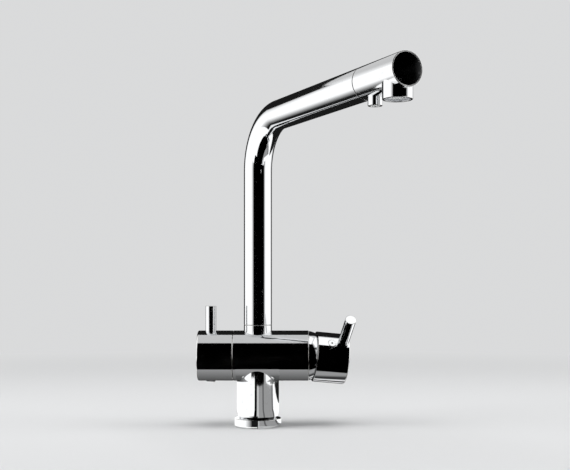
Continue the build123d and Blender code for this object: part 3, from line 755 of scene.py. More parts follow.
@dataclass(frozen=True)
class Chrome(Worked):
    """Polished chrome plate, with hairlines, dried drops, smudges and paler rubbed edges.

    Rises are what smudges, marks and edges add to its roughness. Levels are the heights of
    marks and smudges, which the bump's strength and distance apply to.
    """

    roughness: float = 0.035
    rubbed: Triple = (0.86, 0.85, 0.83)
    rubbed_share: float = 0.5
    hairlines: float = 0.5
    dulling: float = 0.86
    dull_share: float = 0.6
    rises: Triple = (0.045, 0.16, 0.05)
    levels: tuple[float, float] = (-0.3, 0.4)
    bump: tuple[float, float] = (0.12, 0.00008)

    def inputs(self, tree: Tree) -> dict[str, object]:
        """Roughness rises in scratches, drop rings and smudges; edges are rubbed paler.

        Args:
            tree: the material's tree.

        Returns:
            The shader's inputs by name.
        """
        rings = tree.effect(Effect.DROPLETS)
        marks = tree.math("MAXIMUM", tree.effect(Effect.HAIRLINES, Share=self.hairlines), rings)
        smudges = tree.effect(Effect.SMUDGES)
        edge = tree.attribute("edge")
        dull = [self.dulling * part for part in self.colour]
        base = tree.blend(tree.math("MULTIPLY", marks, self.dull_share), self.colour, dull)
        rubbing = tree.math("MULTIPLY", edge, self.rubbed_share)
        height = tree.total(tree.math("MULTIPLY", marks, self.levels[0]), (smudges, self.levels[1]))
        return {
            "Metallic": 1.0,
            "Base Color": tree.blend(rubbing, base, self.rubbed),
            "Roughness": tree.total(self.roughness, *zip((smudges, marks, edge), self.rises)),
            "Normal": tree.bump(height, *self.bump),
        }


@dataclass(frozen=True)
class Metal(Worked):
    """Bare machined metal with the rings of its cutting tool and a little tarnish.

    Rises are what tool marks and patches of tarnish add to its roughness.
    """

    tarnish: Triple
    roughness: float
    axis: Triple = (0.0, 0.0, 1.0)
    patches: float = 90.0
    tarnish_share: float = 0.7
    rises: tuple[float, float] = (0.12, 0.1)
    bump: tuple[float, float] = (0.35, 0.00005)

    def inputs(self, tree: Tree) -> dict[str, object]:
        """Tool marks change roughness and height; smudges carry the colour to tarnish.

        Args:
            tree: the material's tree.

        Returns:
            The shader's inputs by name.
        """
        marks = tree.effect(Effect.TOOL_MARKS, Axis=self.axis)
        patches = tree.effect(Effect.SMUDGES, Scale=self.patches)
        share = tree.math("MULTIPLY", patches, self.tarnish_share)
        return {
            "Metallic": 1.0,
            "Base Color": tree.blend(share, self.colour, self.tarnish),
            "Roughness": tree.total(self.roughness, *zip((marks, patches), self.rises)),
            "Normal": tree.bump(marks, *self.bump),
        }


@dataclass(frozen=True)
class Moulded(Worked):
    """Rubber or ceramic, with the fine skin of its mould and a little dust."""

    dusty: Triple
    roughness: float
    spread: float
    height: float
    coat: float = 0.0
    patches: float = 120.0
    dust_share: float = 0.5
    bump_strength: float = 0.5

    def inputs(self, tree: Tree) -> dict[str, object]:
        """Grain changes roughness and height; smudges carry the colour towards dust.

        Args:
            tree: the material's tree.

        Returns:
            The shader's inputs by name.
        """
        grain = tree.effect(Effect.GRAIN)
        dust = tree.math("MULTIPLY", tree.effect(Effect.SMUDGES, Scale=self.patches), self.dust_share)
        return {
            "Base Color": tree.blend(dust, self.colour, self.dusty),
            "Roughness": tree.total(self.roughness, (grain, self.spread)),
            "Normal": tree.bump(grain, self.bump_strength, self.height),
            "Coat Weight": self.coat,
        }


class Finishes:
    """The finishes of this tap."""

    CHROME = Chrome("polished_chrome", "chrome", (0.77, 0.78, 0.79))
    DISC = Chrome("polished_end_disc", "end_disc", (0.66, 0.67, 0.69), roughness=0.03)
    PLUG = Chrome("polished_plug", "cap_trim", (0.74, 0.75, 0.76))
    BUTTON = Chrome("polished_button", "index_button", (0.74, 0.75, 0.76), roughness=0.045)
    TURNED = ("raw_brass", (0.74, 0.56, 0.28), (0.5, 0.36, 0.2), 0.22)
    BRASS = Metal("turned_brass", *TURNED)
    VALVE_BRASS = Metal("turned_valve_brass", *TURNED, axis=(1.0, 0.0, 0.0))
    NICKEL = Metal(
        "nickel_plated_brass", "nickel_plate", (0.7, 0.69, 0.66), (0.55, 0.54, 0.5), 0.16, (1.0, 0.0, 0.0)
    )
    ZINC = Metal("zinc_plated_steel", "zinc_steel", (0.62, 0.63, 0.62), (0.45, 0.44, 0.4), 0.34)
    STAINLESS = Metal("turned_stainless", "stainless", (0.6, 0.6, 0.61), (0.48, 0.48, 0.49), 0.26)
    RUBBER = Moulded(
        "black_rubber", "seal_rubber", (0.025, 0.025, 0.026), (0.07, 0.07, 0.068), 0.55, 0.3, 0.00006
    )
    PALE = Finish("pale_plastic", "pale_plastic")
    GREY = Finish("grey_plastic", "grey_plastic")
    BLACK = Finish("black_plastic", "black_plastic")
    CERAMIC = Moulded(
        "lapped_ceramic", "ceramic", (0.84, 0.83, 0.8), (0.74, 0.72, 0.68), 0.16, 0.12, 0.00001, 0.3
    )


# ---------------------------------------------------------------------------- the tap
@dataclass
class Shared:
    """Sizes that several sub-assemblies use, and the places that follow from them."""

    barrel_height: float = 70.5
    barrel_radius: float = 25.0
    tube_radius: float = 14.0
    tube_bore: float = 12.5
    neck_top: float = 101.0
    arm_height: float = 303.5
    bend_radius: float = 49.0
    arm_yaw: float = 27.25
    mixer_turn: float = 52.0
    mixer_tilt: float = 9.0
    pivot_at: float = 47.0
    cap_wall: float = 2.4
    pin_radius: float = 5.25
    pin_round: float = 0.5
    riser: Axes = field(init=False)
    barrel: Axes = field(init=False)
    arm: Axes = field(init=False)
    cap: Axes = field(init=False)
    cap_out: np.ndarray = field(init=False)

    def __post_init__(self) -> None:
        """Sets up the four axes and cap_out, which is along the mixer handle's pin.

        The arm leaves the front by its yaw. The mixer handle leans forward from upright by its
        turn, and in that leaning plane its tilt takes the pin outwards and the cap's end down.
        """
        self.riser = Axes.along((0, 0, 0), UP, RIGHT)
        self.barrel = Axes.along(self.barrel_height * UP, RIGHT, BACK)
        arm_side = leaning(RIGHT, BACK, self.arm_yaw)
        self.arm = Axes.along(self.arm_height * UP, leaning(-BACK, RIGHT, self.arm_yaw), arm_side)
        upright = leaning(UP, -BACK, self.mixer_turn)
        self.cap_out = leaning(upright, RIGHT, self.mixer_tilt)
        outwards = leaning(RIGHT, -upright, self.mixer_tilt)
        self.cap = Axes.along(
            self.barrel.at(self.pivot_at), outwards, leaning(BACK, UP, self.mixer_turn)
        )

    def peg(
        self, node: str, finish: Finish, axes: Axes, radius: float, rise: float, end_round: float
    ) -> None:
        """Builds a round peg that stands out of a handle's cap.

        Args:
            node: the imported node.
            finish: its finish.
            axes: the peg's axis, from the cap's axis outwards.
            radius: its radius.
            rise: how far it stands out of the cap.
            end_round: the round on its end.
        """
        foot, top = self.barrel_radius - self.cap_wall, self.barrel_radius + rise
        outline = Outline.through((radius, foot), (radius, top, end_round), (0.0, top))
        skin = Skin(Columns.SMALL).turned(axes, outline)
        skin.solid_inside(node, lambda points: axes.station(points) < foot)
        skin.piece(node, node.split("_")[0] + "_handle", finish, node)


@dataclass
class Base:
    """The ring on the deck and what clamps the tap below it."""

    shared: Shared
    ring_radius: float = 23.2
    ring_height: float = 8.5
    ring_bore: float = 16.8
    ring_round: float = 0.7
    step_inset: float = 0.5
    step_height: float = 1.6
    step_round: float = 0.15
    groove: Triple = (18.25, 21.25, 1.8)
    washers: tuple[tuple[str, Finish, float, float, float], ...] = (
        ("rubber_washer", Finishes.RUBBER, 25.0, -6.0, -3.0),
        ("clamp_washer", Finishes.ZINC, 26.0, -8.5, -6.0),
    )
    washer_round: float = 0.4
    shank_radius: float = 16.5
    shank_bore: float = 13.5
    shank_low: float = -49.0
    shank_high: float = 20.5
    thread_pitch: float = 1.5
    thread_depth: float = 0.8
    thread_sharpness: float = 0.96
    rows_per_pitch: int = 8

    def build(self) -> None:
        """Builds the ring, the washers and the shank."""
        bore, high, rim = self.ring_bore, self.ring_height, self.washer_round
        foot = self.ring_radius - self.step_inset
        inner, outer, depth = self.groove
        ring = Outline.through(
            (bore, 0.0, EASED),
            (inner, 0.0, CRISP),
            (inner, depth, CRISP),
            (outer, depth, CRISP),
            (outer, 0.0, CRISP),
            (foot, 0.0, EASED),
            (foot, self.step_height, self.step_round),
            (self.ring_radius, self.step_height, EASED),
            (self.ring_radius, high, self.ring_round),
            (bore, high, EASED),
            looped=True,
        )
        Skin().turned(self.shared.riser, ring).piece("base_ring", "tap_body", Finishes.CHROME, "base_ring")
        for name, finish, radius, low, high in self.washers:
            corners = (bore, low, EASED), (radius, low, rim), (radius, high, rim), (bore, high, EASED)
            skin = Skin(Columns.SMALL).turned(self.shared.riser, Outline.through(*corners, looped=True))
            skin.piece(name, "tap_body", finish, name)
        self.shank()

    def shank(self) -> None:
        """Builds the threaded shank.

        The thread's radius is the crest's less its depth times a wave from 0 to 1 of the
        height over the pitch less the share of a turn. The wave is the arc sine of nearly the
        whole sine, which leaves straight flanks and small rounds. Its slope along the height
        gives the normal, and the slope round the axis is that times the pitch over a turn. The
        lower end tapers at half a right angle.
        """
        pitch, depth, sharp = self.thread_pitch, self.thread_depth, self.thread_sharpness
        skin = Skin(Columns.SMALL)
        rows = int((self.shank_high - self.shank_low) / pitch * self.rows_per_pitch)
        height = np.linspace(self.shank_low, self.shank_high, rows)[:, None]
        angle = skin.angles[None, :]
        phase = FULL_TURN * height / pitch - angle
        wave = 0.5 - 0.5 * np.arcsin(sharp * np.sin(phase)) / math.asin(sharp)
        slope = -0.5 * sharp * np.cos(phase) / np.sqrt(1 - (sharp * np.sin(phase)) ** 2)
        slope = slope / math.asin(sharp) * FULL_TURN / pitch
        widest = self.shank_radius - np.maximum(0.0, pitch / 2 - (height - self.shank_low))
        radius = np.minimum(self.shank_radius - depth * wave, widest)[..., None]
        rise = np.where(radius[..., 0] < widest, -depth * slope, 0.0)[..., None]
        spoke = np.stack([np.cos(angle), np.sin(angle), 0 * angle], axis=-1)
        sideways = np.stack([-np.sin(angle), np.cos(angle), 0 * angle], axis=-1)
        normals = spoke + rise * pitch / FULL_TURN / radius * sideways - rise * UP
        normals /= np.linalg.norm(normals, axis=-1, keepdims=True)
        skin.sheet(radius * spoke + height[..., None] * UP, normals, 1.0 - wave, False)
        bore = Outline.through(
            (self.shank_radius - depth, self.shank_high),
            (self.shank_bore, self.shank_high, EASED),
            (self.shank_bore, self.shank_low, SOFT),
            (self.shank_radius - pitch / 2, self.shank_low),
        )
        skin.turned(self.shared.riser, bore)
        skin.piece("threaded_shank", "tap_body", Finishes.BRASS, "threaded_shank")


@dataclass
class Body:
    """The casting: barrel, pedestal and neck in one."""

    shared: Shared
    left: float = -24.3
    right: float = 50.5
    valve_bore: float = 10.05
    nut_bore: float = 20.05
    pedestal_radius: float = 21.0
    pedestal_foot: float = 8.5
    foot_height: float = 9.5
    foot_inset: float = 1.7
    foot_rows: int = 24
    spigot_bore: float = 10.55
    end_round: float = 0.5
    fillet: float = 0.5
    margin: float = 0.3

    def build(self) -> None:
        """Builds the casting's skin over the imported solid's own insides."""
        shared = self.shared
        rise = shared.neck_top - shared.barrel_height
        barrel = Outline.through(
            (self.valve_bore, self.left),
            (shared.barrel_radius, self.left, self.end_round),
            (shared.barrel_radius, self.right, self.end_round),
            (self.nut_bore, self.right),
        )
        neck = Outline.through(
            (shared.tube_radius, 0.0),
            (shared.tube_radius, rise, self.end_round),
            (self.spigot_bore, rise),
        )
        skin = Skin(Columns.LARGEST).turned(shared.barrel, barrel)
        for way, outline in ((-UP, self.pedestal()), (UP, neck)):
            axes = Axes.along(shared.barrel.origin, way, RIGHT)
            skin.branch(axes, shared.barrel_radius, self.fillet, outline)
        skin.solid_inside("body_casting", self.inside)
        skin.piece("body_casting", "tap_body", Finishes.CHROME, "body_casting")

    def pedestal(self) -> Outline:
        """The pedestal's wall, which draws in to its foot along an arc that starts upright.

        The arc's radius is the sum of the squares of its height and its inset over twice the
        inset.

        Returns:
            The outline, counted down from the barrel's axis.
        """
        arc_radius = (self.foot_height**2 + self.foot_inset**2) / (2 * self.foot_inset)
        start = self.shared.barrel_height - self.pedestal_foot - self.foot_height
        centre = self.pedestal_radius - arc_radius, start
        end = math.asin(self.foot_height / arc_radius)
        wall = Outline.through((self.pedestal_radius, 0.0), (self.pedestal_radius, start))
        return wall + Outline.arc(centre, arc_radius, 0.0, end, self.foot_rows)

    def inside(self, points: np.ndarray) -> np.ndarray:
        """Which points lie off the casting's outer walls.

        Args:
            points: places to test.

        Returns:
            True for each point a little inside the barrel, the pedestal or the neck.
        """
        shared = self.shared
        low = points[:, 2] < shared.barrel_height
        wall = np.where(low, self.pedestal_radius - self.foot_inset, shared.tube_radius)
        in_barrel = shared.barrel.radial(points) < shared.barrel_radius - self.margin
        return in_barrel | (shared.riser.radial(points) < wall - self.margin)


@dataclass
class Spout:
    """The bent tube, its head with two stubs, and the disc in its end."""

    shared: Shared
    foot: float = 101.4
    tube_end: float = 209.0
    head_start: float = 210.0
    seam_round: float = 0.15
    tip: float = 269.0
    tip_round: float = 0.42
    head_wall: float = 1.8
    rim: float = 0.9
    disc_depth: float = 2.6
    disc_set_in: float = 0.2
    disc_gap: float = 0.05
    aerator_at: float = 255.0
    aerator_radius: float = 12.0
    aerator_mouth: float = 21.3
    aerator_round: float = 0.4
    aerator_bore: float = 10.2
    aerator_throat: float = 8.4
    nozzle_at: float = 222.3
    nozzle_radius: float = 6.0
    nozzle_mouth: float = 20.8
    nozzle_round: float = 0.35
    nozzle_bore: float = 4.05
    stub_seat: float = 14.0
    stub_fillet: float = 0.35

    def build(self) -> None:
        """Builds the tube, the head and the end disc."""
        self.tube()
        self.head()
        self.disc()

    def tube(self) -> None:
        """Carries the tube's wall along the riser, the bend and the arm."""
        shared = self.shared
        radius, bore, seam = shared.tube_radius, shared.tube_bore, self.seam_round
        rise = shared.arm_height - shared.bend_radius
        route = BentRoute(shared.arm.u, shared.arm.w, rise, shared.bend_radius)
        end = route.run_station(self.tube_end)
        corners = (radius, self.foot, seam), (radius, end, seam), (bore, end, seam), (bore, self.foot, seam)
        outline = Outline.through(*corners, looped=True, stops=route.stops())
        Skin(Columns.LARGE).turned(route, outline).piece("spout_tube", "spout", Finishes.CHROME, "spout_tube")

    def head(self) -> None:
        """Builds the head: a straight tube with a seat for the disc, and two stubs below."""
        shared = self.shared
        radius, bore = shared.tube_radius, shared.tube_radius - self.head_wall
        seat, back = radius - self.rim, self.tip - self.disc_depth
        wall = Outline.through(
            (radius, self.head_start, self.seam_round),
            (radius, self.tip, self.tip_round),
            (seat, self.tip, SOFT),
            (seat, back, CRISP),
            (bore, back, CRISP),
            (bore, self.head_start, self.seam_round),
            looped=True,
        )
        aerator = Outline.through(
            (self.aerator_radius, 0.0),
            (self.aerator_radius, self.aerator_mouth, self.aerator_round),
            (self.aerator_bore, self.aerator_mouth, SOFT),
            (self.aerator_bore, self.stub_seat, CRISP),
            (self.aerator_throat, self.stub_seat),
        )
        nozzle = Outline.through(
            (self.nozzle_radius, 0.0),
            (self.nozzle_radius, self.nozzle_mouth, self.nozzle_round),
            (self.nozzle_bore, self.nozzle_mouth, SOFT),
            (self.nozzle_bore, self.stub_seat),
        )
        skin = Skin(Columns.LARGE).turned(shared.arm, wall)
        for station, stub in ((self.aerator_at, aerator), (self.nozzle_at, nozzle)):
            down = Axes.along(shared.arm.at(station), -UP, shared.arm.w)
            skin.branch(down, radius, self.stub_fillet, stub)
        skin.piece("spout_head", "spout", Finishes.CHROME, "spout_head")

    def disc(self) -> None:
        """Builds the disc that closes the head's end."""
        back, front = self.tip - self.disc_depth, self.tip - self.disc_set_in
        radius = self.shared.tube_radius - self.rim - self.disc_gap
        outline = Outline.through((0.0, back), (radius, back, CRISP), (radius, front, SOFT), (0.0, front))
        Skin().turned(self.shared.arm, outline).piece("end_disc", "spout", Finishes.DISC, "end_disc")


@dataclass
class FilterHandle:
    """The left handle: cap, upright pin and the plug below."""

    shared: Shared
    rim: float = -24.7
    rim_depth: float = 1.0
    rim_round: float = 0.5
    end: float = -59.6
    end_round: float = 1.2
    pin_at: float = -47.0
    pin_rise: float = 24.5
    plug_radius: float = 4.5
    plug_drop: float = 1.4
    plug_round: float = 0.7

    def build(self) -> None:
        """Builds the cap, the pin and the plug."""
        shared = self.shared
        radius, bore = shared.barrel_radius, shared.barrel_radius - shared.cap_wall
        outline = Outline.through(
            (0.0, self.end),
            (radius, self.end, self.end_round),
            (radius, self.rim, self.rim_round),
            (bore, self.rim, EASED),
            (bore, self.rim - self.rim_depth),
        )
        cap = Skin(Columns.LARGE).turned(shared.barrel, outline)
        cap.solid_inside("filter_cap", lambda points: shared.barrel.radial(points) < bore + CRISP)
        cap.piece("filter_cap", "filter_handle", Finishes.CHROME, "filter_cap")
        above, below = (Axes.along(shared.barrel.at(self.pin_at), way, RIGHT) for way in (UP, -UP))
        shared.peg(
            "filter_pin", Finishes.CHROME, above, shared.pin_radius, self.pin_rise, shared.pin_round
        )
        shared.peg(
            "filter_cap_plug", Finishes.PLUG, below, self.plug_radius, self.plug_drop, self.plug_round
        )


@dataclass
class MixerHandle:
    """The right handle: the dome on the body, the tilted cap, its long pin and its button."""

    shared: Shared
    dome_radius: float = 24.8
    dome_wall: float = 1.4
    dome_low: float = 3.9
    dome_high: float = 15.3
    dome_lip: float = 3.0
    dome_rows: int = 40
    cap_start: float = 9.5
    cap_end: float = 41.3
    cap_rim: float = 1.5
    rim_rounds: tuple[float, float] = (0.25, 0.35)
    end_round: float = 1.2
    pin_at: float = 33.5
    pin_rise: float = 41.0
    button_at: float = 23.0
    button_radius: float = 4.3
    button_top: float = 25.5
    button_round: float = 0.9
    dimple_radius: float = 0.9
    dimple_depth: float = 0.5
    # The black disc in the dimple is painted shade: how deep its top sits, and its round.
    shade_dot_depth: float = 0.25
    shade_dot_round: float = 0.08

    def build(self) -> None:
        """Builds the dome, the cap, the pin and the button."""
        shared = self.shared
        self.dome()
        self.cap()
        pin = Axes.along(shared.cap.at(self.pin_at), shared.cap_out, shared.cap.u)
        shared.peg(
            "mixer_pin", Finishes.CHROME, pin, shared.pin_radius, self.pin_rise, shared.pin_round
        )
        self.button()

    def dome(self) -> None:
        """Builds the skirt: a band of a ball about the pivot, over the solid's own inside."""
        pivot = Axes.along(self.shared.cap.origin, RIGHT, BACK)
        low, high = (math.asin(end / self.dome_radius) for end in (self.dome_low, self.dome_high))
        foot, top = (self.dome_radius * math.cos(angle) for angle in (low, high))
        band = Outline.arc((0.0, 0.0), self.dome_radius, low, high, self.dome_rows)
        lip = Outline.through((foot - self.dome_lip, self.dome_low), (foot, self.dome_low))
        rim = Outline.through((top, self.dome_high), (top - self.dome_wall, self.dome_high))
        skin = Skin(Columns.LARGE).turned(pivot, band).turned(pivot, lip).turned(pivot, rim)
        inner = self.dome_radius - self.dome_wall + CRISP
        skin.solid_inside(
            "mixer_dome", lambda points: np.linalg.norm(points - pivot.origin, axis=1) < inner
        )
        skin.piece("mixer_dome", "tap_body", Finishes.CHROME, "mixer_dome")

    def cap(self) -> None:
        """Builds the tilted cap over the solid's own inside."""
        axes, radius = self.shared.cap, self.shared.barrel_radius
        bore = radius - self.cap_rim
        outline = Outline.through(
            (bore, self.cap_start + self.cap_rim),
            (bore, self.cap_start, self.rim_rounds[0]),
            (radius, self.cap_start, self.rim_rounds[1]),
            (radius, self.cap_end, self.end_round),
            (0.0, self.cap_end),
        )
        skin = Skin(Columns.LARGE).turned(axes, outline)
        skin.solid_inside("mixer_cap", lambda points: axes.radial(points) < bore + CRISP)
        skin.piece("mixer_cap", "mixer_handle", Finishes.CHROME, "mixer_cap")

    def button(self) -> None:
        """Builds the button: a flat face with a small dimple, and a black disc set in the dimple as painted
        shade.
        """
        shared, top, dimple = self.shared, self.button_top, self.dimple_radius
        axes = Axes.along(shared.cap.at(self.button_at), shared.cap_out, shared.cap.u)
        floor, shade_top = top - self.dimple_depth, top - self.shade_dot_depth
        button = Outline.through(
            (self.button_radius, shared.barrel_radius - shared.cap_wall),
            (self.button_radius, top, self.button_round),
            (dimple, top, CRISP),
            (dimple, floor, CRISP),
            (0.0, floor),
        )
        # Painted shade: a black disc fills the dimple's floor so that the dimple reads dark.
        shade_dot = Outline.through((0.0, floor), (dimple, floor), (dimple, shade_top, self.shade_dot_round), (0.0, shade_top))
        skin = Skin(Columns.SMALL).turned(axes, button)
        skin.piece("index_button", "mixer_handle", Finishes.BUTTON, "index_button")
        Skin(Columns.TINY).turned(axes, shade_dot).piece("index_dot", "mixer_handle", Finishes.BLACK)


@dataclass
class Insides:
    """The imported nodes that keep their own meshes, by the finish of each."""

    finishes: tuple[tuple[Finish, str], ...] = (
        (Finishes.RUBBER, "base_seal spigot_seals aerator_seal filter_valve_seal cartridge_seals"),
        (Finishes.BRASS, "shank_nut spout_spigot"),
        (Finishes.VALVE_BRASS, "filter_spindle mixer_stem"),
        (Finishes.NICKEL, "filter_valve_body cartridge_nut"),
        (Finishes.STAINLESS, "spout_screw filter_cap_screw stem_pin mixer_cap_screw"),
        (Finishes.CERAMIC, "filter_fixed_disc filter_moving_disc fixed_disc moving_disc"),
        (Finishes.BLACK, "slide_ring joint_sleeve"),
        (Finishes.PALE, "filter_tube aerator_insert nozzle_insert disc_driver stem_carrier"),
        (Finishes.GREY, "aerator_housing cartridge_base_plate cartridge_shell"),
    )

    def build(self) -> None:
        """Gives each node the material of its finish."""
        for finish, names in self.finishes:
            for name in names.split():
                slots = FRAME_NODES[name].data.materials
                slots.clear()
                slots.append(finish.material())
                LOG.info("%s: %s", name, finish.name)


# ---------------------------------------------------------------------------- the studio
class Shade(Enum):
    """How bright a card looks in a reflection, from none to a lamp's white."""

    BLACK = 0.0
    FAINT = 0.012
    DIM = 0.05
    GREY = 0.15
    MIDDLE = 0.38
    SOFT = 0.68
    PALE = 0.92
    WHITE = 1.3

    @cache
    def material(self) -> bpy.types.Material:
        """The card's material, built on first use, brightest where the attribute glow is 1.

        Returns:
            The material.
        """
        made = bpy.data.materials.new("card_" + self.name.lower())
        tree = Tree.fresh(made)
        power = tree.math("MULTIPLY", tree.attribute("glow"), self.value)
        light = tree.node("Emission", {0: (1.0, 1.0, 1.0, 1.0), 1: power}).outputs[0]
        tree.node("OutputMaterial", {0: light})
        return made


@dataclass(frozen=True)
class Card:
    """A flat card that only reflections see.

    Its corners are in metres. From its first side, which joins the first corner to the last,
    to its opposite side it fades in over one share of its width and out over another.
    A side that fades keeps the share of the card's light that ends gives.
    """

    name: str
    shade: Shade
    corners: tuple[Triple, ...]
    fades: tuple[float, float] = (0.0, 0.0)
    ends: tuple[float, float] = (0.0, 0.0)

    LEAST_FADE = 1e-4

    def build(self) -> None:
        """Sets the card up: a grid of columns, each a blend of the card's two sides."""
        first, second, third, last = np.array(self.corners, float)
        fades = [max(fade, self.LEAST_FADE) for fade in self.fades]
        share = np.array([0.0, fades[0], 1 - fades[1], 1.0])[:, None]
        low = first + share * (second - first)
        high = last + share * (third - last)
        mesh = bpy.data.meshes.new(self.name + "_card")
        faces = [(column, column + 1, column + 5, column + 4) for column in range(3)]
        mesh.from_pydata(np.vstack([low, high]), [], faces)
        ends = [end if fade > 0 else 1.0 for fade, end in zip(self.fades, self.ends)]
        glow = mesh.attributes.new("glow", "FLOAT", "POINT")
        glow.data.foreach_set("value", np.array([ends[0], 1.0, 1.0, ends[1]] * 2, np.float32))
        mesh.materials.append(self.shade.material())
        made = bpy.data.objects.new(mesh.name, mesh)
        made.visible_camera = False
        made.visible_diffuse = False
        made.visible_shadow = False
        made.visible_transmission = False
        bpy.context.scene.collection.objects.link(made)


@dataclass(frozen=True)
class SoftBox:
    """A large soft lamp: its place, what it faces, its width and height, and its power."""

    name: str
    place: Triple
    target: Triple
    size: tuple[float, float]
    power: float

    def build(self) -> None:
        """Hangs the lamp, turned to face its target."""
        data = bpy.data.lights.new(self.name, "AREA")
        data.shape = "RECTANGLE"
        data.size, data.size_y = self.size
        data.energy = self.power
        made = bpy.data.objects.new(self.name, data)
        made.location = self.place
        made.visible_camera = False
        made.visible_glossy = False
        x, y, z = np.asarray(self.target) - np.asarray(self.place)
        made.rotation_euler = (math.atan2(math.hypot(x, y), -z), 0.0, math.atan2(-x, y))
        bpy.context.scene.collection.objects.link(made)


def level(x_low: float, x_high: float, y_low: float, y_high: float, z: float) -> tuple[Triple, ...]:
    """The corners of a level card."""
    return ((x_low, y_low, z), (x_high, y_low, z), (x_high, y_high, z), (x_low, y_high, z))


def upright(first: tuple[float, float], last: tuple[float, float], height: float) -> tuple[Triple, ...]:
    """The corners of an upright card that stands on the floor between two points."""
    return ((*first, 0.0), (*last, 0.0), (*last, height), (*first, height))


def strip(x_low: float, x_high: float, first: tuple[float, float], last: tuple[float, float]) -> tuple:
    """The corners of a card between two edges along X, each at a depth and a height."""
    return ((x_low, *first), (x_low, *last), (x_high, *last), (x_high, *first))


def bearing(angle: float, distance: float) -> tuple[float, float]:
    """The point at a bearing, from the front towards the right, and a distance from the riser."""
    return distance * math.sin(math.radians(angle)), -distance * math.cos(math.radians(angle))


def sector(first: float, last: float, near: float, far: float, height: float) -> tuple[Triple, ...]:
    """The corners of a level card between two bearings and two distances.

    Args:
        first: first bearing.
        last: last bearing.
        near: distance of its near side.
        far: distance of its far side.
        height: its height.

    Returns:
        The four corners.
    """
    turns = ((first, near), (last, near), (last, far), (first, far))
    return tuple((*bearing(angle, distance), height) for angle, distance in turns)


def fence(first: float, last: float, distance: float, height: float) -> tuple[Triple, ...]:
    """The corners of a low upright card between two bearings at one distance."""
    return upright(bearing(first, distance), bearing(last, distance), height)


FADES_IN, FADES_OUT = (0.99, 0.0), (0.0, 0.99)
BELOW_BODY = (0.003, 0.0448), (-0.0295, 0.0448)
UNDER_KINK = (-0.01465, 0.0462)
"""Depth and height at which the two cards below the barrel's middle meet."""
HALF_PEDESTAL = 0.0215
BESIDE_RING = (0.0265, 0.0082)


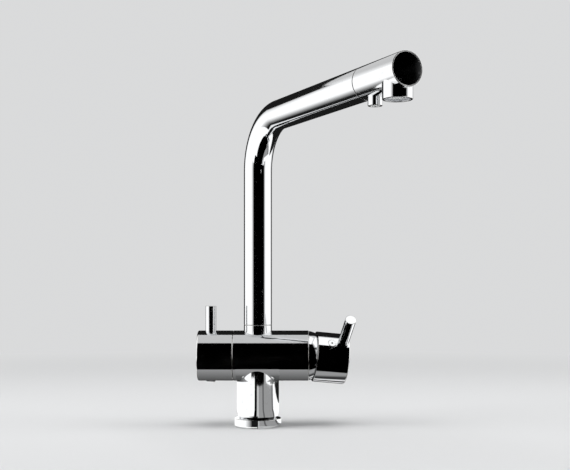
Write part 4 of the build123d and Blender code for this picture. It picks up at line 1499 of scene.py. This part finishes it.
@dataclass
class Studio:
    """The pale floor and background, the lamps, the cards and the camera."""

    floor_radius: float = 9.0
    floor_hole: float = 0.0175
    floor_level: float = -0.0002
    floor_rings: int = 14
    floor_fade: tuple[float, float] = (0.3, 1.4)
    speck_scale: float = 240.0
    speck_shade: float = 0.985
    background: Triple = (0.7, 0.705, 0.71)
    ambient: float = 0.5
    lens: float = 63.16
    camera_place: Triple = (0.039, -1.0, 0.1311)
    shift: tuple[float, float] = (-0.0209, 0.1051)
    soft_boxes: tuple[SoftBox, ...] = (
        SoftBox("left_box", (-1.25, -0.35, 0.8), (0.0, 0.0, 0.15), (1.0, 1.3), 12.0),
        SoftBox("right_box", (1.25, -0.1, 0.7), (0.0, 0.0, 0.15), (0.8, 1.2), 8.0),
        SoftBox("top_box", (0.1, -0.35, 1.5), (0.0, 0.0, 0.1), (1.2, 0.8), 11.0),
    )
    cards: tuple[Card, ...] = (
        Card("front", Shade.BLACK, upright((-1.05, -1.6), (3.2, -1.6), 3.2)),
        Card(
            "body_shelf",
            Shade.BLACK,
            (
                (-0.35, -1.6, 0.0575),
                (0.07, -1.6, 0.0575),
                (0.0515, -0.0219, 0.0575),
                (-0.085, -0.0219, 0.0575),
            ),
        ),
        Card(
            "mixer_shelf",
            Shade.BLACK,
            ((0.07, -1.6, 0.0575), (0.85, -1.6, 0.045), (0.098, -0.0157, 0.0525), (0.0515, -0.0213, 0.057)),
        ),
        Card("back", Shade.FAINT, upright((-1.05, 0.95), (0.75, 0.95), 2.4)),
        Card("left", Shade.WHITE, upright((-1.5, -2.31), (-1.5, 1.67), 1.8), (0.286, 0.156)),
        Card("right", Shade.WHITE, upright((0.7, -0.547), (0.7, 1.04), 1.2), (0.148, 0.38)),
        Card("overhead", Shade.SOFT, level(-0.1, 0.2, -0.24, 0.112, 0.495)),
        Card("overhead_left", Shade.SOFT, level(-0.6, -0.1, -0.24, 0.112, 0.495), FADES_IN, (2.8, 0.0)),
        Card("pin", Shade.WHITE, level(0.15, 0.27, -0.25, 0.112, 0.494)),
        Card("left_floor", Shade.WHITE, level(-1.6, 0.0, -2.0, 1.6, 0.001)),
        Card(
            "left_dark",
            Shade.FAINT,
            ((-0.217, 0.15, 0.0011), (0.0, 0.15, 0.0011), (0.0, 1.6, 0.0011), (-1.002, 1.6, 0.0011)),
        ),
        Card("left_far_front", Shade.BLACK, sector(-34, -15, 0.62, 3.0, 0.0013)),
        Card("pedestal_side", Shade.WHITE, upright((-0.13, 0.02), (-0.017, 0.112), 0.04)),
        Card(
            "left_fade",
            Shade.WHITE,
            ((-0.64, 0.15, 0.0012), (-0.215, 0.15, 0.0012), (-1.0, 1.6, 0.0012), (-1.7, 1.6, 0.0012)),
            FADES_OUT,
        ),
        Card("front_floor", Shade.BLACK, sector(-15, -3, 0.03, 1.3, 0.0014)),
        Card("ring_fade", Shade.WHITE, fence(-34, -14, *BESIDE_RING), FADES_OUT),
        Card("ring_dark", Shade.FAINT, fence(-14, 2.8, *BESIDE_RING)),
        Card("bright_edge", Shade.SOFT, sector(-3, 7, 0.03, 0.62, 0.0016)),
        Card("plate", Shade.MIDDLE, sector(7, 26, 0.03, 0.62, 0.0016)),
        Card("dark_line", Shade.GREY, sector(26, 33, 0.03, 0.62, 0.0016)),
        Card("right_plate", Shade.MIDDLE, sector(33, 80, 0.03, 0.7, 0.0016)),
        Card("second_line", Shade.GREY, sector(80, 89, 0.03, 0.9, 0.0016)),
        Card("back_floor", Shade.FAINT, sector(88, 212, 0.05, 2.2, 0.0018)),
        Card("far_front", Shade.BLACK, sector(-15, 35, 0.5, 1.5, 0.0022)),
        Card("far_right", Shade.WHITE, sector(45, 100, 0.52, 1.5, 0.0024)),
        Card(
            "bright_strip",
            Shade.WHITE,
            ((0.0235, 0.0, 0.0026), (0.9, -0.02, 0.0026), (0.9, 0.02, 0.0026), (0.0235, 0.19, 0.0026)),
        ),
        Card("under_left", Shade.MIDDLE, strip(-0.075, -HALF_PEDESTAL, *BELOW_BODY), FADES_IN),
        Card(
            "under_front",
            Shade.MIDDLE,
            strip(-HALF_PEDESTAL, HALF_PEDESTAL, (-0.022, 0.0578), UNDER_KINK),
            FADES_OUT,
            (0.0, 0.4),
        ),
        Card(
            "under_middle",
            Shade.GREY,
            strip(-HALF_PEDESTAL, HALF_PEDESTAL, UNDER_KINK, (0.002, 0.0445)),
            FADES_OUT,
        ),
        Card("under_right", Shade.MIDDLE, strip(HALF_PEDESTAL, 0.052, *BELOW_BODY), FADES_IN),
        Card("under_back_left", Shade.DIM, level(-0.075, -HALF_PEDESTAL, -0.002, 0.03, 0.0449)),
        Card("under_back_right", Shade.DIM, level(HALF_PEDESTAL, 0.052, -0.002, 0.03, 0.0449)),
        Card("under_mixer", Shade.MIDDLE, strip(0.052, 0.12, (-0.012, 0.0405), (-0.03, 0.0405)), (0.3, 0.3)),
        Card("mixer_line", Shade.PALE, level(0.052, 0.12, -0.0083, -0.005, 0.0405)),
        Card("mixer_low_line", Shade.PALE, level(0.052, 0.12, -0.0015, 0.002, 0.0405)),
        Card(
            "mixer_side",
            Shade.BLACK,
            ((0.13, -0.17, 0.05), (0.13, -0.045, 0.05), (0.13, -0.045, 0.085), (0.13, -0.17, 0.085)),
        ),
        Card("mixer_gap", Shade.DIM, level(0.052, 0.12, -0.03, 0.03, 0.0403)),
    )

    def build(self) -> None:
        """Sets up everything that isn't part of the tap."""
        scene = bpy.context.scene
        scene.view_settings.view_transform = "Standard"
        self.floor()
        self.world(scene)
        for piece in (*self.cards, *self.soft_boxes):
            piece.build()
        self.camera(scene)

    def floor(self) -> None:
        """Lays a round floor with a hole for the shank, in rings that widen outwards."""
        rings = self.floor_hole + np.linspace(0.0, 1.0, self.floor_rings) ** 2 * self.floor_radius
        angle = np.linspace(0.0, FULL_TURN, Columns.SMALL, endpoint=False)
        height = np.full((len(rings), len(angle)), self.floor_level)
        grid = np.stack([np.outer(rings, np.cos(angle)), np.outer(rings, np.sin(angle)), height], -1)
        index = np.arange(rings.size * angle.size).reshape(rings.size, angle.size)
        beside = np.roll(index, -1, axis=1)
        faces = np.stack([index[:-1], index[1:], beside[1:], beside[:-1]], axis=-1)
        mesh = bpy.data.meshes.new("floor")
        mesh.from_pydata(grid.reshape(-1, 3), [], faces.reshape(-1, 4))
        mesh.materials.append(self.floor_material())
        made = bpy.data.objects.new("floor", mesh)
        bpy.context.scene.collection.objects.link(made)

    def floor_material(self) -> bpy.types.Material:
        """The floor's material: matt by the tap, and the background's colour from far off.

        Returns:
            The material.
        """
        made = bpy.data.materials.new("studio_floor")
        tree = Tree.fresh(made)
        place = tree.place()
        reach = tree.node("VectorMath", {0: place}, operation="LENGTH").outputs[1]
        share = tree.math("MULTIPLY", self.seen(tree), tree.ramp(reach, *self.floor_fade))
        speck = tree.noise(place, self.speck_scale, 3.0).outputs[0]
        darker = [self.speck_shade * part for part in self.background]
        colour = tree.blend(speck, self.background, darker)
        matt = tree.node("BsdfDiffuse", {0: colour, 1: 0.5}).outputs[0]
        plain = tree.node("Emission", {0: (*self.background, 1.0), 1: 1.0}).outputs[0]
        mix = tree.node("MixShader", {0: share, 1: matt, 2: plain}).outputs[0]
        tree.node("OutputMaterial", {0: mix})
        return made

    @staticmethod
    def seen(tree: Tree) -> Socket:
        """1 for a ray from the camera, or one that metal or glass sent on, else 0.

        Args:
            tree: the tree to work in.

        Returns:
            The mask.
        """
        path = tree.node("LightPath").outputs
        direct = tree.math("MAXIMUM", path["Is Camera Ray"], path["Is Glossy Ray"])
        return tree.math("MAXIMUM", direct, path["Is Transmission Ray"])

    def world(self, scene: bpy.types.Scene) -> None:
        """Makes the background pale to the eye and in metal, and a soft light elsewhere.

        Args:
            scene: the scene.
        """
        scene.world = bpy.data.worlds.new("studio")
        tree = Tree.fresh(scene.world)
        strength = tree.ramp(self.seen(tree), 0.0, 1.0, self.ambient, 1.0)
        light = tree.node("Background", {0: (*self.background, 1.0), 1: strength}).outputs[0]
        tree.node("OutputWorld", {0: light})

    def camera(self, scene: bpy.types.Scene) -> None:
        """Places the camera, level and facing along +Y, with the photograph's framing.

        Args:
            scene: the scene.
        """
        data = bpy.data.cameras.new("camera")
        data.sensor_width = 36.0
        data.lens = self.lens
        data.shift_x, data.shift_y = self.shift
        data.clip_start, data.clip_end = 0.01, 100.0
        made = bpy.data.objects.new("camera", data)
        made.location = self.camera_place
        made.rotation_euler = (QUARTER_TURN, 0.0, 0.0)
        scene.collection.objects.link(made)
        scene.camera = made


def main() -> None:
    """Loads the frame, builds and dresses each sub-assembly, and logs what it builds."""
    logging.basicConfig(level=logging.INFO, format="%(name)s: %(message)s")
    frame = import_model()
    FRAME_NODES.update(frame["nodes"])
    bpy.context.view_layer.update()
    shared = Shared()
    parts = (Base(shared), Body(shared), Spout(shared), FilterHandle(shared), MixerHandle(shared))
    for part in (Studio(), *parts, Insides()):
        part.build()
        LOG.info("built %s", type(part).__name__)


if __name__ == "__main__":
    main()
